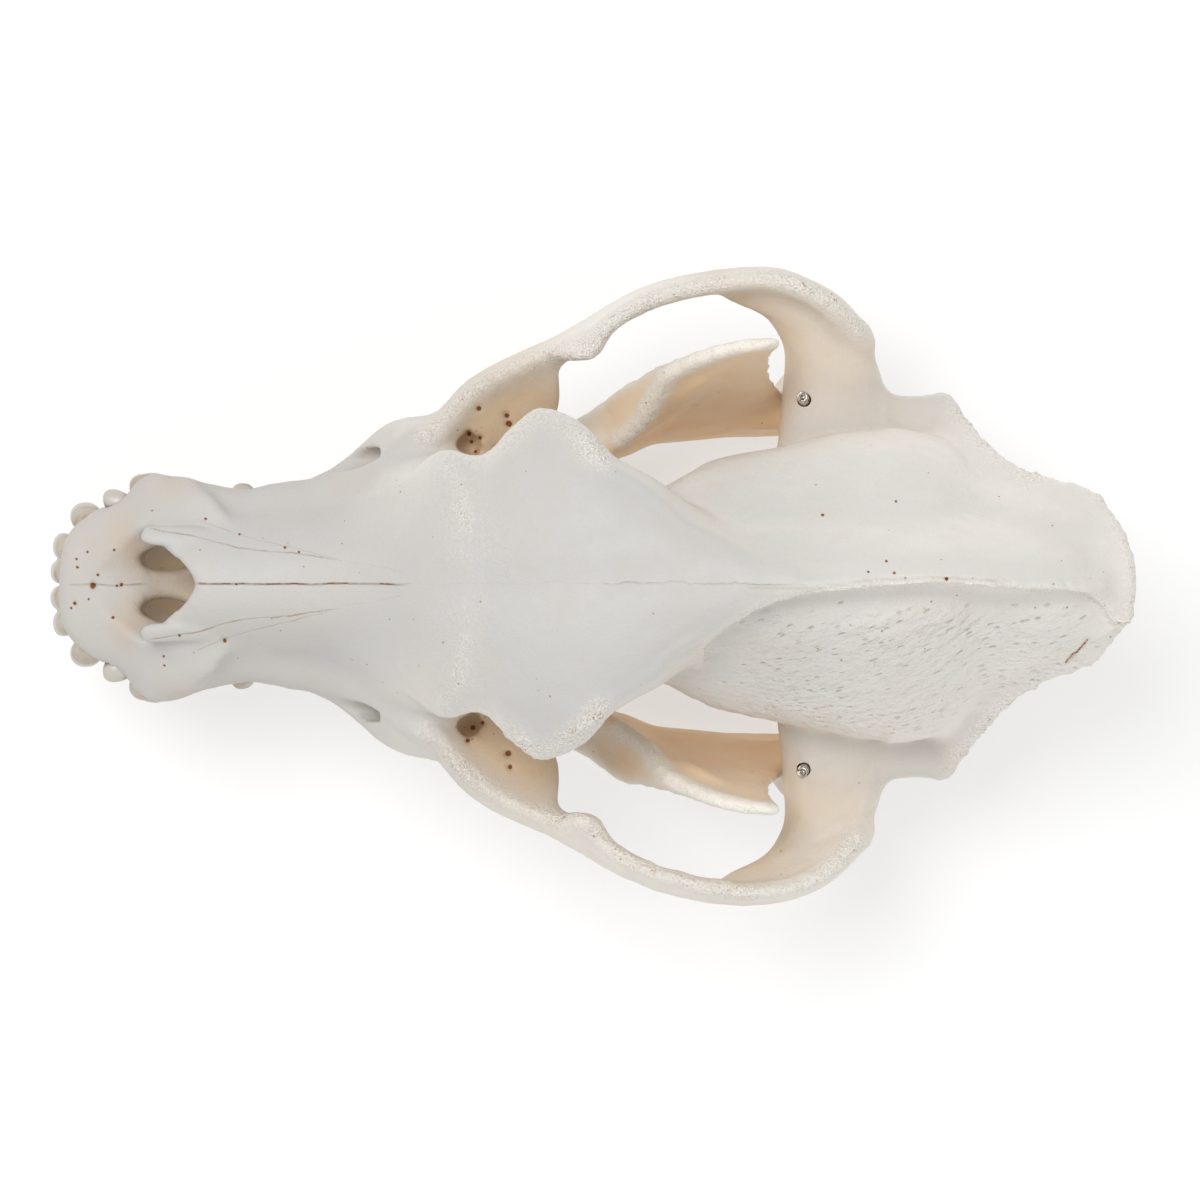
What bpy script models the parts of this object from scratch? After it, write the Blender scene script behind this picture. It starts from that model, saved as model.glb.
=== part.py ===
"""Dog skull at life size, its lower jaw hung on two steel springs.

The skull stands on the flats of its lower jaw. The nose points to -Y, the animal's left is +X and
+Z is up. The origin is on the floor under the middle of the bounding box. The tables below are in
millimetres for a skull of REFERENCE_LENGTH: s runs back from the tips of the incisors, x out from the
middle, z up from the floor.
"""

import math

import bmesh
import bpy
import numpy as np
from mathutils import Matrix

REFERENCE_LENGTH = 211.0  # length that the tables are drawn for, in millimetres
SKULL_LENGTH = 211.0  # incisors to the back of the nuchal crest
METRES = 0.001 * SKULL_LENGTH / REFERENCE_LENGTH
MIDDLE = REFERENCE_LENGTH / 2

GAP = 0.3  # between bones that touch
GRAIN = 1.1  # cell of the grid that fuses a bone's pieces
FINE_GRAIN = 0.6  # cell for the openings, which are small
SINK = 0.4  # how far the lowest points of the jaw are cut off to make its flats

CRANIUM_TRIANGLES = 6200
JAW_TRIANGLES = 1200
LEAST_BONE = 50.0  # a scrap smaller than this, in cubic millimetres, isn't a bone

WAIST_SEAM = 121.0  # s where the face ends and the braincase starts
CHEEK_FROM = 30.0  # a bone whose middle lies further out than this is a cheek bone
UPPER_GUM = 41.6  # height at which the upper cheek teeth leave the bone
LOWER_GUM = 27.4

CONDYLE = (37.0, 150.6, 35.4)
CONDYLE_HALF = (10.6, 4.0, 3.6)
CONDYLE_TURN = (0.0, 4.0, 8.0)
JOINT_SPACE = 0.35  # between the jaw's condyle and its socket

SPRING_AT = (36.3, 150.0)
SPRING_WIRE = 0.28  # radius of the wire
SPRING_COIL = 0.95  # radius of the coil's centre line
SPRING_TURNS = 7
SPRING_SIDES = 6  # straight pieces in a turn
SPRING_FOOT = 34.6
SPRING_TOP = 52.0
SPRING_BORE = 1.55  # radius of the hole through the socket and into the jaw

BONE = (0.74, 0.71, 0.66)
JAW_BONE = (0.72, 0.66, 0.57)
STEEL = (0.32, 0.31, 0.30)


# Curves and sections


def through(places, values, at):
    """Smooth curve through values at places that doesn't swing past them."""
    places, values, at = (np.asarray(column, float) for column in (places, values, at))
    step = np.diff(places)
    slope = np.diff(values) / step
    tangent = np.zeros_like(values)
    tangent[0], tangent[-1] = slope[0], slope[-1]
    same = slope[:-1] * slope[1:] > 0
    before, after = np.where(same, slope[:-1], 1), np.where(same, slope[1:], 1)
    weight_a = 2 * step[1:] + step[:-1]
    weight_b = step[1:] + 2 * step[:-1]
    tangent[1:-1] = np.where(same, (weight_a + weight_b) / (weight_a / before + weight_b / after), 0)
    i = np.clip(np.searchsorted(places, at) - 1, 0, len(step) - 1)
    u = (np.clip(at, places[0], places[-1]) - places[i]) / step[i]
    return (
        (1 + 2 * u) * (1 - u) ** 2 * values[i]
        + u * (1 - u) ** 2 * step[i] * tangent[i]
        + u * u * (3 - 2 * u) * values[i + 1]
        + u * u * (u - 1) * step[i] * tangent[i + 1]
    )


def along_path(points, t):
    """Places at t, from 0 to 1, on a smooth curve through (x, s, z) points."""
    points = np.asarray(points, float) - (0, MIDDLE, 0)
    spans = len(points) - 1
    held = np.vstack([2 * points[0] - points[1], points, 2 * points[-1] - points[-2]])
    i = np.minimum((t * spans).astype(int), spans - 1)
    u = (t * spans - i)[:, None]
    a, b, c, d = held[i], held[i + 1], held[i + 2], held[i + 3]
    return 0.5 * (2 * b + (c - a) * u + (2 * a - 5 * b + 4 * c - d) * u**2 + (3 * b - a - 3 * c + d) * u**3)


def at_rings(places, rings_at, values):
    """Each value, one number or one for each place, drawn smoothly through the places as a column."""
    spread = [np.broadcast_to(np.asarray(value, float), (len(places),)) for value in values]
    return [through(places, value, rings_at)[:, None] for value in spread]


def rings(count, length, front, back):
    """Places of the rings from 0 to 1, and their size, which falls to a point over a rounded end."""
    t = (1 - np.cos(np.linspace(0, math.pi, count))) / 2
    size = np.ones(count)
    for radius, distance in ((front, t * length), (back, (1 - t) * length)):
        if radius:
            inward = 1 - np.minimum(distance / radius, 1)
            size = np.minimum(size, np.sqrt(np.clip(1 - inward**2, 0, 1)))
    return t, np.maximum(size, 0.02)


def squared(sides, square):
    """Cosine and sine round a section that is an ellipse at square 2 and squarer above it."""
    turn = np.linspace(0, 2 * math.pi, sides, endpoint=False)[None]
    return [np.sign(wave) * np.abs(wave) ** (2 / square) for wave in (np.cos(turn), np.sin(turn))]


def closed_tube(grid):
    """Points and triangles of a tube through rings of points, with a fan at each end, facing out."""
    count, sides = grid.shape[:2]
    points = np.vstack([grid.reshape(-1, 3), grid[0].mean(0), grid[-1].mean(0)])
    ring, side = np.meshgrid(np.arange(count - 1), np.arange(sides), indexing="ij")
    following = (side + 1) % sides
    a, b = ring * sides + side, ring * sides + following
    c, d = (ring + 1) * sides + following, (ring + 1) * sides + side
    walls = np.vstack([np.stack([a, b, c], -1).reshape(-1, 3), np.stack([a, c, d], -1).reshape(-1, 3)])
    first = np.arange(sides)
    second = (first + 1) % sides
    last = (count - 1) * sides
    nose = np.stack([np.full(sides, count * sides), second, first], -1)
    tail = np.stack([np.full(sides, count * sides + 1), last + first, last + second], -1)
    faces = np.vstack([walls, nose, tail])
    corner = points[faces]
    volume = np.einsum("ij,ij->", corner[:, 0], np.cross(corner[:, 1], corner[:, 2]))
    return points, faces if volume > 0 else faces[:, ::-1]


# Kinds of piece


def barrel(s, top, base, w_top, w_mid, w_base, square=2.5, droop=0, front=0, back=0, count=60, sides=48):
    """Upright section carried along the skull: top and base are heights, w_ its half widths at three levels.

    droop is how far the top falls from the middle to the edge.
    """
    t, size = rings(count, s[-1] - s[0], front, back)
    at = s[0] + t * (s[-1] - s[0])
    given = (top, base, w_top, w_mid, w_base, square, droop)
    top, base, w_top, w_mid, w_base, square, droop = at_rings(s, at, given)
    size = size[:, None]
    across, upward = squared(sides, square)
    width = w_mid + (w_top - w_base) * upward / 2 + ((w_top + w_base) / 2 - w_mid) * upward**2
    x = across * width * size
    z = (top + base) / 2 + (top - base) / 2 * upward * size - droop * (x / w_top) ** 2
    return closed_tube(np.stack([x, np.broadcast_to(at[:, None] - MIDDLE, x.shape), z], -1))


def plate(edge, root, thick, square=2.5, front=0.0, back=0.0, count=60, sides=24):
    """Flat section stretched between two curves, edge and root, with half its thickness given."""
    length = np.linalg.norm(np.diff((np.asarray(edge, float) + root) / 2, axis=0), axis=1).sum()
    t, size = rings(count, length, front, back)
    a, b = along_path(edge, t), along_path(root, t)
    thick, square = at_rings(np.linspace(0, 1, len(edge)), t, (thick, square))
    centre, reach = (a + b) / 2, (a - b) / 2
    facing = np.cross(np.gradient(centre, axis=0), reach)
    facing /= np.linalg.norm(facing, axis=1)[:, None]
    across, outward = squared(sides, square)
    across = across * thick * size[:, None]
    outward = outward * size[:, None]
    out = across[..., None] * facing[:, None] + outward[..., None] * reach[:, None]
    return closed_tube(centre[:, None] + out)


def rod(path, side, up, upward=(0, 0, 1), square=2.3, front=0.0, back=0.0, count=40, sides=24):
    """Section of half width side and half height up, carried along a path."""
    length = np.linalg.norm(np.diff(np.asarray(path, float), axis=0), axis=1).sum()
    t, size = rings(count, length, front, back)
    centre = along_path(path, t)
    side, up, square = at_rings(np.linspace(0, 1, len(path)), t, (side, up, square))
    ahead = np.gradient(centre, axis=0)
    sideways = np.cross(ahead, upward)
    sideways /= np.linalg.norm(sideways, axis=1)[:, None]
    over = np.cross(sideways, ahead)
    over /= np.linalg.norm(over, axis=1)[:, None]
    across, lift = squared(sides, square)
    across = across * side * size[:, None]
    lift = lift * up * size[:, None]
    out = across[..., None] * sideways[:, None] + lift[..., None] * over[:, None]
    return closed_tube(centre[:, None] + out)


def stack(z, s_front, s_back, x_front, x_back, thick, square=2.5, front=0.0, back=0.0, count=50, sides=40):
    """Level sections piled up: each runs from s_front to s_back, with half its thickness given."""
    t, size = rings(count, z[-1] - z[0], front, back)
    at = z[0] + t * (z[-1] - z[0])
    s_front, s_back, x_front, x_back, thick = at_rings(z, at, (s_front, s_back, x_front, x_back, thick))
    size = size[:, None]
    lengthways, across = squared(sides, square)
    lengthways = lengthways * size
    s = (s_front + s_back) / 2 + (s_back - s_front) / 2 * lengthways
    x = (x_front + x_back) / 2 + (x_back - x_front) / 2 * lengthways + thick * across * size
    return closed_tube(np.stack([x, s - MIDDLE, np.broadcast_to(at[:, None], x.shape)], -1))


def egg(centre, half, turn=(0, 0, 0), count=18, sides=24):
    """Ellipsoid of three half widths, turned by degrees about X, then Y, then Z."""
    polar = np.linspace(0, math.pi, count)[:, None]
    round_about = np.linspace(0, 2 * math.pi, sides, endpoint=False)[None]
    out = np.maximum(np.sin(polar), 0.01)
    up = np.cos(polar) + 0 * round_about
    grid = np.stack([out * np.cos(round_about), out * np.sin(round_about), up], -1)
    (cx, cy, cz), (sx, sy, sz) = np.cos(np.radians(turn)), np.sin(np.radians(turn))
    about_x = np.array([[1, 0, 0], [0, cx, -sx], [0, sx, cx]])
    about_y = np.array([[cy, 0, sy], [0, 1, 0], [-sy, 0, cy]])
    about_z = np.array([[cz, -sz, 0], [sz, cz, 0], [0, 0, 1]])
    place = np.array(centre, float) - (0, MIDDLE, 0)
    return closed_tube((grid * half) @ (about_z @ about_y @ about_x).T + place)


def block(low, high):
    """Box between two corners, given as (x, s, z)."""
    (x0, s0, z0), (x1, s1, z1) = low, high
    ring = [[(x, s - MIDDLE, z) for x, s in ((x0, s0), (x1, s0), (x1, s1), (x0, s1))] for z in (z0, z1)]
    return closed_tube(np.array(ring, float))


def mirrored(piece):
    points, faces = piece
    return points * (-1, 1, 1), faces[:, ::-1]


def both(piece):
    return [piece, mirrored(piece)]


# Blender objects from pieces


def joined(pieces):
    """One set of points and triangles out of several closed pieces."""
    starts = np.cumsum([0] + [len(points) for points, _ in pieces])
    faces = [faces + start for (_, faces), start in zip(pieces, starts)]
    return np.vstack([points for points, _ in pieces]), np.vstack(faces)


def mesh_object(name, piece):
    points, faces = piece
    mesh = bpy.data.meshes.new(name)
    mesh.from_pydata(points.tolist(), [], faces.tolist())
    obj = bpy.data.objects.new(name, mesh)
    bpy.context.scene.collection.objects.link(obj)
    return obj


def applied(obj):
    """Replaces the object's mesh by its evaluated one, and drops the modifiers."""
    bpy.context.view_layer.update()
    graph = bpy.context.evaluated_depsgraph_get()
    old = obj.data
    obj.data = bpy.data.meshes.new_from_object(obj.evaluated_get(graph))
    obj.modifiers.clear()
    bpy.data.meshes.remove(old)
    return obj


def fused(name, pieces, grain):
    """Closed pieces that overlap, made one skin."""
    obj = mesh_object(name, joined(pieces))
    skin = obj.modifiers.new("skin", "REMESH")
    skin.mode = "VOXEL"
    skin.voxel_size = grain
    return applied(obj)


def combined(obj, others, operation):
    """The object with the others cut from it or united with it."""
    group = bpy.data.collections.new("others")
    bpy.context.scene.collection.children.link(group)
    for other in others:
        bpy.context.scene.collection.objects.unlink(other)
        group.objects.link(other)
    change = obj.modifiers.new(operation.lower(), "BOOLEAN")
    change.operation = operation
    change.operand_type = "COLLECTION"
    change.collection = group
    change.solver = "MANIFOLD"
    applied(obj)
    for other in others:
        bpy.data.objects.remove(other)
    bpy.data.collections.remove(group)
    return obj


def neighbour_mean(points, edges, degree):
    total = np.zeros_like(points)
    for one, other in ((0, 1), (1, 0)):
        for axis in range(3):
            total[:, axis] += np.bincount(edges[:, one], points[edges[:, other], axis], len(points))
    return total / degree[:, None]


def settled(obj, fill, even):
    """Fills the creases where pieces meet, then smooths the skin without shrinking it."""
    mesh = obj.data
    points = np.empty(len(mesh.vertices) * 3)
    mesh.vertices.foreach_get("co", points)
    points = points.reshape(-1, 3)
    edges = np.empty(len(mesh.edges) * 2, np.int32)
    mesh.edges.foreach_get("vertices", edges)
    edges = edges.reshape(-1, 2)
    degree = np.bincount(edges.ravel(), minlength=len(points)).astype(float)
    normals = np.empty(len(points) * 3, np.float32)
    for _ in range(fill):
        mesh.vertices.foreach_set("co", points.ravel())
        mesh.update()
        mesh.vertex_normals.foreach_get("vector", normals)
        outward = normals.reshape(-1, 3)
        pull = neighbour_mean(points, edges, degree) - points
        rise = np.einsum("ij,ij->i", pull, outward)[:, None]
        points = points + 0.6 * outward * np.maximum(rise, 0) + 0.3 * (pull - outward * rise)
    for _ in range(even):
        points = points + 0.5 * (neighbour_mean(points, edges, degree) - points)
        points = points - 0.53 * (neighbour_mean(points, edges, degree) - points)
    mesh.vertices.foreach_set("co", points.ravel())
    mesh.update()
    return obj


def thinned(obj, triangles):
    """The same skin with about this many triangles."""
    mesh = obj.data
    mesh.calc_loop_triangles()
    fewer = obj.modifiers.new("fewer", "DECIMATE")
    fewer.ratio = triangles / len(mesh.loop_triangles)
    fewer.use_collapse_triangulate = True
    return applied(obj)


def surfaces(obj):
    """The closed surfaces of a mesh as (volume, middle, points, faces), largest first."""
    shape = bmesh.new()
    shape.from_mesh(obj.data)
    bmesh.ops.triangulate(shape, faces=shape.faces)
    shape.verts.index_update()
    points = np.array([vert.co for vert in shape.verts])
    found = []
    left = set(shape.faces)
    while left:
        start = left.pop()
        island, edge = [start], [start]
        while edge:
            near = {other for face in edge for line in face.edges for other in line.link_faces} & left
            left -= near
            island += near
            edge = near
        faces = np.array([[vert.index for vert in face.verts] for face in island])
        corner = points[faces]
        volume = np.einsum("ij,ij->", corner[:, 0], np.cross(corner[:, 1], corner[:, 2])) / 6
        used, inverse = np.unique(faces, return_inverse=True)
        found.append((volume, points[used].mean(0), points[used], inverse.reshape(-1, 3)))
    shape.free()
    return sorted(found, key=lambda surface: -surface[0])


def largest_surface(obj):
    """Points and triangles of an object, which is then removed."""
    _, _, points, faces = surfaces(obj)[0]
    bpy.data.objects.remove(obj)
    return points, faces


def slab(centre, one_way, other_way, one_size, other_size):
    """Flat box as thick as the gap between bones, lying in the plane of two directions."""
    one = np.array(one_way, float) / np.linalg.norm(one_way)
    facing = np.cross(one, other_way)
    facing /= np.linalg.norm(facing)
    other = np.cross(facing, one)
    corners = [(-1, -1), (1, -1), (1, 1), (-1, 1)]
    middle = np.array(centre, float) - (0, MIDDLE, 0)
    outline = np.array([a * one_size * one + b * other_size * other for a, b in corners])
    return closed_tube(np.stack([middle + outline - facing * GAP / 2, middle + outline + facing * GAP / 2]))


# Cranium


def muzzle():
    """Jaw bone at the level of the sockets, the muzzle over it, and the swelling at each canine's root."""
    sockets = barrel(
        s=[3, 5.7, 11.4, 16.4, 21.7, 27.5, 34.6, 43.7, 51.8, 57, 61.9, 66, 71, 77, 84, 92, 98, 103],
        top=[44, 46.5, 49.5, 52.5, 57, 59, 58, 58, 58, 59, 60, 61, 62, 60, 57, 54, 51, 48],
        base=[39, 39, 39.5, 40, 40.5, 41, 41.5, 41.5, 41.5, 41.5, 41.5, 41.5, 41.5, 41.5, 41.5, 42, 42.5, 43],
        w_top=[3.5, 9, 12, 14, 18, 18.5, 16.5, 16, 17, 19, 22, 25, 28, 30, 29, 27, 22, 14],
        w_mid=[5.5, 11.8, 15.2, 18.4, 23.2, 21.8, 19.6, 19.6, 21.2, 23.8, 27, 30.6, 33.4, 34.6, 34, 32, 26, 15],
        w_base=[5, 11, 14.4, 17.4, 21.4, 21, 19.6, 19.6, 21, 23, 26, 29.5, 32, 33, 33, 31, 25, 14],
        square=3.0,
        front=3,
        back=4,
        count=80,
    )
    nose = barrel(
        s=[10, 15, 20.5, 27, 34, 45, 58, 68, 76, 84, 92],
        top=[52, 60, 66.6, 68, 68.4, 69.4, 71.8, 76, 81.6, 87, 91],
        base=[42, 42, 42, 42, 42, 42, 42, 42, 44, 52, 62],
        w_top=[10, 11, 10.6, 10, 9.8, 9.8, 11.5, 15, 18.5, 20.5, 19],
        w_mid=[13.8, 16.6, 17.6, 18, 17.4, 17, 19, 23.5, 27, 25, 21],
        w_base=[13, 16, 19, 19.5, 18.5, 18, 20.5, 25, 29, 26, 22],
        square=2.9,
        droop=[0.5, 0.5, 1, 2, 2.5, 2.5, 3, 3, 3, 3, 3],
        front=4,
    )
    swelling = rod(
        [(19.4, 20.5, 42), (18.8, 25, 50), (16.2, 31, 57.5), (13.2, 38, 63.5)],
        side=[3.4, 3.2, 2.6, 2],
        up=[4.5, 4.5, 4, 3],
        upward=(0, 1, 0.5),
        front=1,
        back=6,
    )
    return [sockets, nose] + both(swelling)


def brow():
    """Frontal bones out to the processes behind the eyes, and the waist between the orbits."""
    roof = barrel(
        s=[64, 72, 80.6, 87, 93, 98.9, 103.2, 107.5, 112, 120, 126, 131, 137, 142, 150],
        top=[69, 75, 84, 88.5, 92, 94.5, 95.6, 96.2, 96.6, 97, 97.2, 97.5, 98, 98.4, 98.6],
        base=[58, 62, 70, 74, 77, 78, 79, 80, 80, 78, 76, 74, 72, 72, 72],
        w_top=[15, 19, 24.5, 23.4, 27, 32, 30.4, 28.5, 22.6, 17.4, 12.2, 9, 6.4, 3.6, 1.8],
        w_mid=[17, 21, 25.8, 24, 28, 33.2, 31, 29, 24.5, 20, 16, 13, 10, 7.5, 4],
        w_base=[14, 17, 19, 17, 17, 18, 18, 17, 17, 16, 14, 13, 11, 9, 6],
        square=[3, 3, 3, 3.2, 3.6, 4, 4, 4, 3.5, 3, 3, 3, 2.6, 2.4, 2.4],
        droop=[2, 2.5, 3, 3.5, 5, 8, 7, 6, 3.5, 2, 1, 0.5, 0, 0, 0],
        count=100,
    )
    waist = barrel(
        s=[68, 76, 84, 92, 100, 110, 120],
        top=[70, 76, 82, 85, 86, 87, 87],
        base=[43, 43, 43, 43, 43, 42, 41],
        w_top=[18, 20, 19, 16.5, 15.5, 16, 18],
        w_mid=[24, 24, 19, 15.5, 14, 15, 18.5],
        w_base=[24, 22, 17, 13.5, 12, 12, 14.5],
        square=2.8,
    )
    return [roof, waist]


def brain_box():
    """Braincase, its floor, the occiput, and the crests along the top and round the back."""
    dome = barrel(
        s=[100, 108, 116, 122, 127.4, 132, 137, 145, 155, 165, 175, 184, 191, 195],
        top=[84, 87, 88.5, 89.5, 90, 90.5, 91, 91.5, 91.5, 91, 89, 84, 75, 66],
        base=[46, 44, 42, 40.5, 39, 37.5, 36, 34, 32.5, 32, 32, 33, 36, 42],
        w_top=[12, 13, 13, 12.5, 12, 12.5, 13.5, 15.5, 17, 17.5, 16.5, 14, 10, 7],
        w_mid=[13, 15, 17.5, 19.3, 20.6, 21.8, 23, 25.5, 29, 30, 28.5, 23, 16, 10],
        w_base=[11, 12, 14, 16, 17.5, 19, 20.5, 23, 25, 25.5, 24, 21, 16, 10],
        square=2.25,
        count=80,
    )
    floor = barrel(
        s=[104, 115, 130, 145, 160, 180, 195],
        top=[52, 50, 48, 45, 43, 44, 44],
        base=[45, 44, 41, 37.5, 34.5, 33.5, 34.5],
        w_top=[9, 9, 10, 12, 14, 14, 10],
        w_mid=[8, 8, 8.5, 10, 12, 13, 10],
        w_base=[7, 7, 7, 8, 9, 11, 9],
        back=3,
    )
    occiput = barrel(
        s=[168, 178, 186, 194, 201, 206],
        top=[86, 87, 87.5, 88, 87, 86],
        base=[36, 40, 50, 63, 73, 79],
        w_top=[8, 8, 8, 8.5, 8, 6],
        w_mid=[24, 22.5, 19.5, 16, 12, 8],
        w_base=[24, 21, 18, 14, 9, 6],
        square=2.4,
        back=3,
    )
    sagittal_crest = plate(
        [
            (0, 134, 97.8),
            (0, 146, 98.8),
            (0, 160, 99.2),
            (0, 175, 98.6),
            (0, 190, 96),
            (0, 202, 92),
            (0, 209.5, 88.2),
        ],
        [(0, 134, 82), (0, 146, 82), (0, 160, 82), (0, 175, 80), (0, 188, 76), (0, 197, 74), (0, 203, 76)],
        [5, 3, 2.2, 2.2, 2.6, 3.4, 4.2],
        square=1.6,
        front=2,
        back=2,
    )
    nuchal_crest = plate(
        [
            (-1, 211, 88),
            (6.3, 210.4, 86.4),
            (12.2, 208.3, 83.5),
            (16.4, 206.2, 80),
            (19.2, 203.2, 77),
            (22.4, 194.4, 69),
            (25, 189.4, 64),
            (28.6, 185.4, 58.5),
            (33, 182, 52.5),
            (38.6, 179, 42),
        ],
        [
            (0, 196, 78),
            (4, 195, 77),
            (7, 194, 75),
            (9, 191, 72),
            (10, 188, 69),
            (12, 182, 62),
            (14, 178, 58),
            (17, 175, 53),
            (21, 172, 48),
            (30, 171, 38),
        ],
        [2.6, 2.2, 2, 1.8, 1.7, 1.7, 1.8, 2, 2.4, 2.6],
        back=2,
        count=80,
    )
    return [dome, floor, occiput, sagittal_crest] + both(nuchal_crest)


def side_of_ear():
    """Root of the cheek arch with the jaw's socket, the shelf behind it, and the mastoid corner."""
    arch_root = plate(
        [
            (18, 142, 51),
            (24, 144.2, 48),
            (30, 145.2, 45.4),
            (38, 145.8, 44.6),
            (46, 146.4, 45),
            (52, 144.4, 46),
            (58, 138, 48.5),
        ],
        [
            (18, 172, 50),
            (24, 170, 47),
            (30, 168, 45.4),
            (38, 165, 45),
            (46, 163, 45.6),
            (52.5, 159.5, 47),
            (59, 150, 48.5),
        ],
        [8, 7, 6.4, 6.2, 5.6, 4.6, 3.6],
        back=2,
    )
    shelf = plate(
        [(38, 160, 46), (37.4, 166, 46.5), (36.8, 171, 46.5), (37, 175, 46), (38, 179, 45)],
        [(22, 158, 46), (22, 165, 46), (22, 171, 46), (22, 175, 46), (24, 178, 45)],
        [4, 3.4, 3, 3, 3],
        front=2,
        back=1.5,
    )
    mastoid = egg((28.5, 175.5, 40), (8, 5, 8), turn=(0, 0, -20))
    behind_socket = egg((36.5, 158.6, 39), (8.5, 2.2, 6.5), turn=(10, 0, 8))
    return both(arch_root) + both(shelf) + both(mastoid) + both(behind_socket)


def underside():
    """Ear capsules, occipital condyles, the processes beside them, and the pterygoid plates."""
    bulla = egg((16.5, 165, 33), (8.5, 12.5, 9.2), turn=(0, 0, 12))
    condyle = egg((9.5, 192.5, 40), (6.2, 6.2, 9), turn=(-15, 20, -25))
    jugular_process = rod(
        [(20, 180, 43), (20.5, 183.5, 34), (20, 187, 25)],
        side=[4.5, 3.5, 1.8],
        up=[4.5, 3, 1.8],
        upward=(0, 1, 0),
        back=2,
    )
    pterygoid = stack(
        z=[34, 37, 42, 47],
        s_front=[140, 128, 103, 98],
        s_back=[146, 146, 144, 142],
        x_front=[7.5, 8, 9, 9],
        x_back=[8, 8, 8.5, 8.5],
        thick=[1.2, 1.4, 1.8, 2.2],
        front=1,
    )
    return both(bulla) + both(condyle) + both(jugular_process) + both(pterygoid)


def cheek():
    """Cheek arch, its process behind the eye, and the floor of the orbit."""
    arch = plate(
        [
            (17, 58, 56),
            (29, 76, 61),
            (36, 82.5, 60),
            (40.8, 89, 58.5),
            (44, 96, 58),
            (46, 102, 58.5),
            (47.6, 108, 60),
            (50.6, 113, 60.5),
            (54.3, 120, 60.5),
            (58, 129, 60.2),
            (60, 139, 60.2),
            (59.5, 147, 60),
            (56.5, 154, 58),
            (51, 160, 53.5),
            (45, 163, 50),
        ],
        [
            (19, 58, 43),
            (31.5, 75, 42.5),
            (36.8, 82, 42),
            (41.5, 88.5, 42),
            (45.2, 95.5, 42.7),
            (48.2, 102, 44),
            (51.5, 108, 45.6),
            (55, 114, 46.6),
            (58.6, 121, 47.3),
            (61.3, 130, 47.3),
            (62, 140, 46.2),
            (60.4, 149, 44.5),
            (56.4, 156, 43.2),
            (50.5, 161.2, 42.6),
            (45, 163, 43),
        ],
        [3, 4.2, 3.8, 3.2, 2.6, 2.2, 2.3, 2.2, 2.1, 2.1, 2.1, 2.3, 2.6, 3, 3],
        square=2.8,
        count=110,
        sides=28,
    )
    process = plate(
        [(45.6, 99.5, 57), (45, 103.6, 61.6), (44.8, 107.2, 62.6), (47.4, 110.8, 61.2)],
        [(45.5, 100.5, 50), (46.8, 104.5, 50), (48.4, 108, 50), (50, 111, 50)],
        [1.6, 2, 2.2, 2],
        front=1.5,
        back=1.5,
    )
    orbit_floor = plate(
        [(28, 77, 58), (35, 84, 56.5), (40, 90.5, 54.5), (43.5, 96.5, 54), (45.4, 101.6, 54)],
        [(14, 80, 50), (18, 89, 48.5), (23, 96, 47.5), (30, 101.5, 47), (38, 104.5, 48)],
        [3.5, 3.2, 2.8, 2.4, 2],
        back=1.5,
    )
    molar_block = stack(
        z=[41.5, 45, 49, 51],
        s_front=[76, 76, 78, 80],
        s_back=[99.5, 100, 99.5, 97],
        x_front=[27, 28, 29, 30],
        x_back=[29, 32, 36, 37],
        thick=[5, 6, 5.5, 3.5],
        back=1.5,
    )
    return both(arch) + both(process) + both(orbit_floor) + both(molar_block)


def openings():
    """What is hollow in the cranium: nose, palate, throat, brain and ear openings, and the small foramina."""
    nostril = barrel(
        s=[0, 4, 9, 14, 20, 32, 50, 62],
        top=[80, 80, 80, 74, 66.4, 66, 65.4, 62],
        base=[42.5, 43.6, 45.2, 46.2, 46.6, 46.6, 47.5, 50],
        w_top=[12, 13, 12.6, 11, 7.6, 7, 6.5, 5],
        w_mid=[7, 9.6, 11, 11.4, 10.6, 9.5, 8.5, 6],
        w_base=[3, 6.5, 8.6, 8.4, 7.6, 7, 6.5, 5],
        square=2.4,
        back=4,
    )
    nasal_notch = stack([58, 84], s_front=4, s_back=31.4, x_front=0, x_back=0, thick=10.4, square=1.7)
    palatine_fissure = stack(
        [34, 49], s_front=18.5, s_back=29.5, x_front=4.1, x_back=4.8, thick=2.3, square=2
    )
    throat = barrel(
        s=[96, 104, 120, 140],
        top=[44.6, 44.8, 43.5, 40.5],
        base=30,
        w_top=[4.5, 6.3, 6.2, 5],
        w_mid=[5, 6.4, 6.3, 5.5],
        w_base=[5, 6.5, 6.5, 6],
        square=3,
        front=3,
    )
    foramen_magnum = rod(
        [(0, 206, 47), (0, 191, 48.5), (0, 176, 51)], side=[9.5, 9, 8], up=[8, 7.8, 7], back=6
    )
    ear = egg((30.5, 168.5, 39), (9, 3.4, 3.6))
    infraorbital = rod(
        [(26, 52, 53), (25.2, 61, 53.6), (25, 74, 55)],
        side=[2.6, 2.2, 2.2],
        up=[4, 3.6, 3.2],
        square=2,
        back=2,
    )
    tear_duct = rod([(22, 86, 66), (20.5, 80, 65)], side=[2, 1.6], up=[3, 2.4], square=2, back=2)
    orbital_fissure = egg((12, 126, 52), (5, 3, 3))
    found = [nostril, nasal_notch, throat, foramen_magnum]
    for paired in (palatine_fissure, ear, infraorbital, tear_duct, orbital_fissure):
        found += both(paired)
    return found


# Teeth


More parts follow.
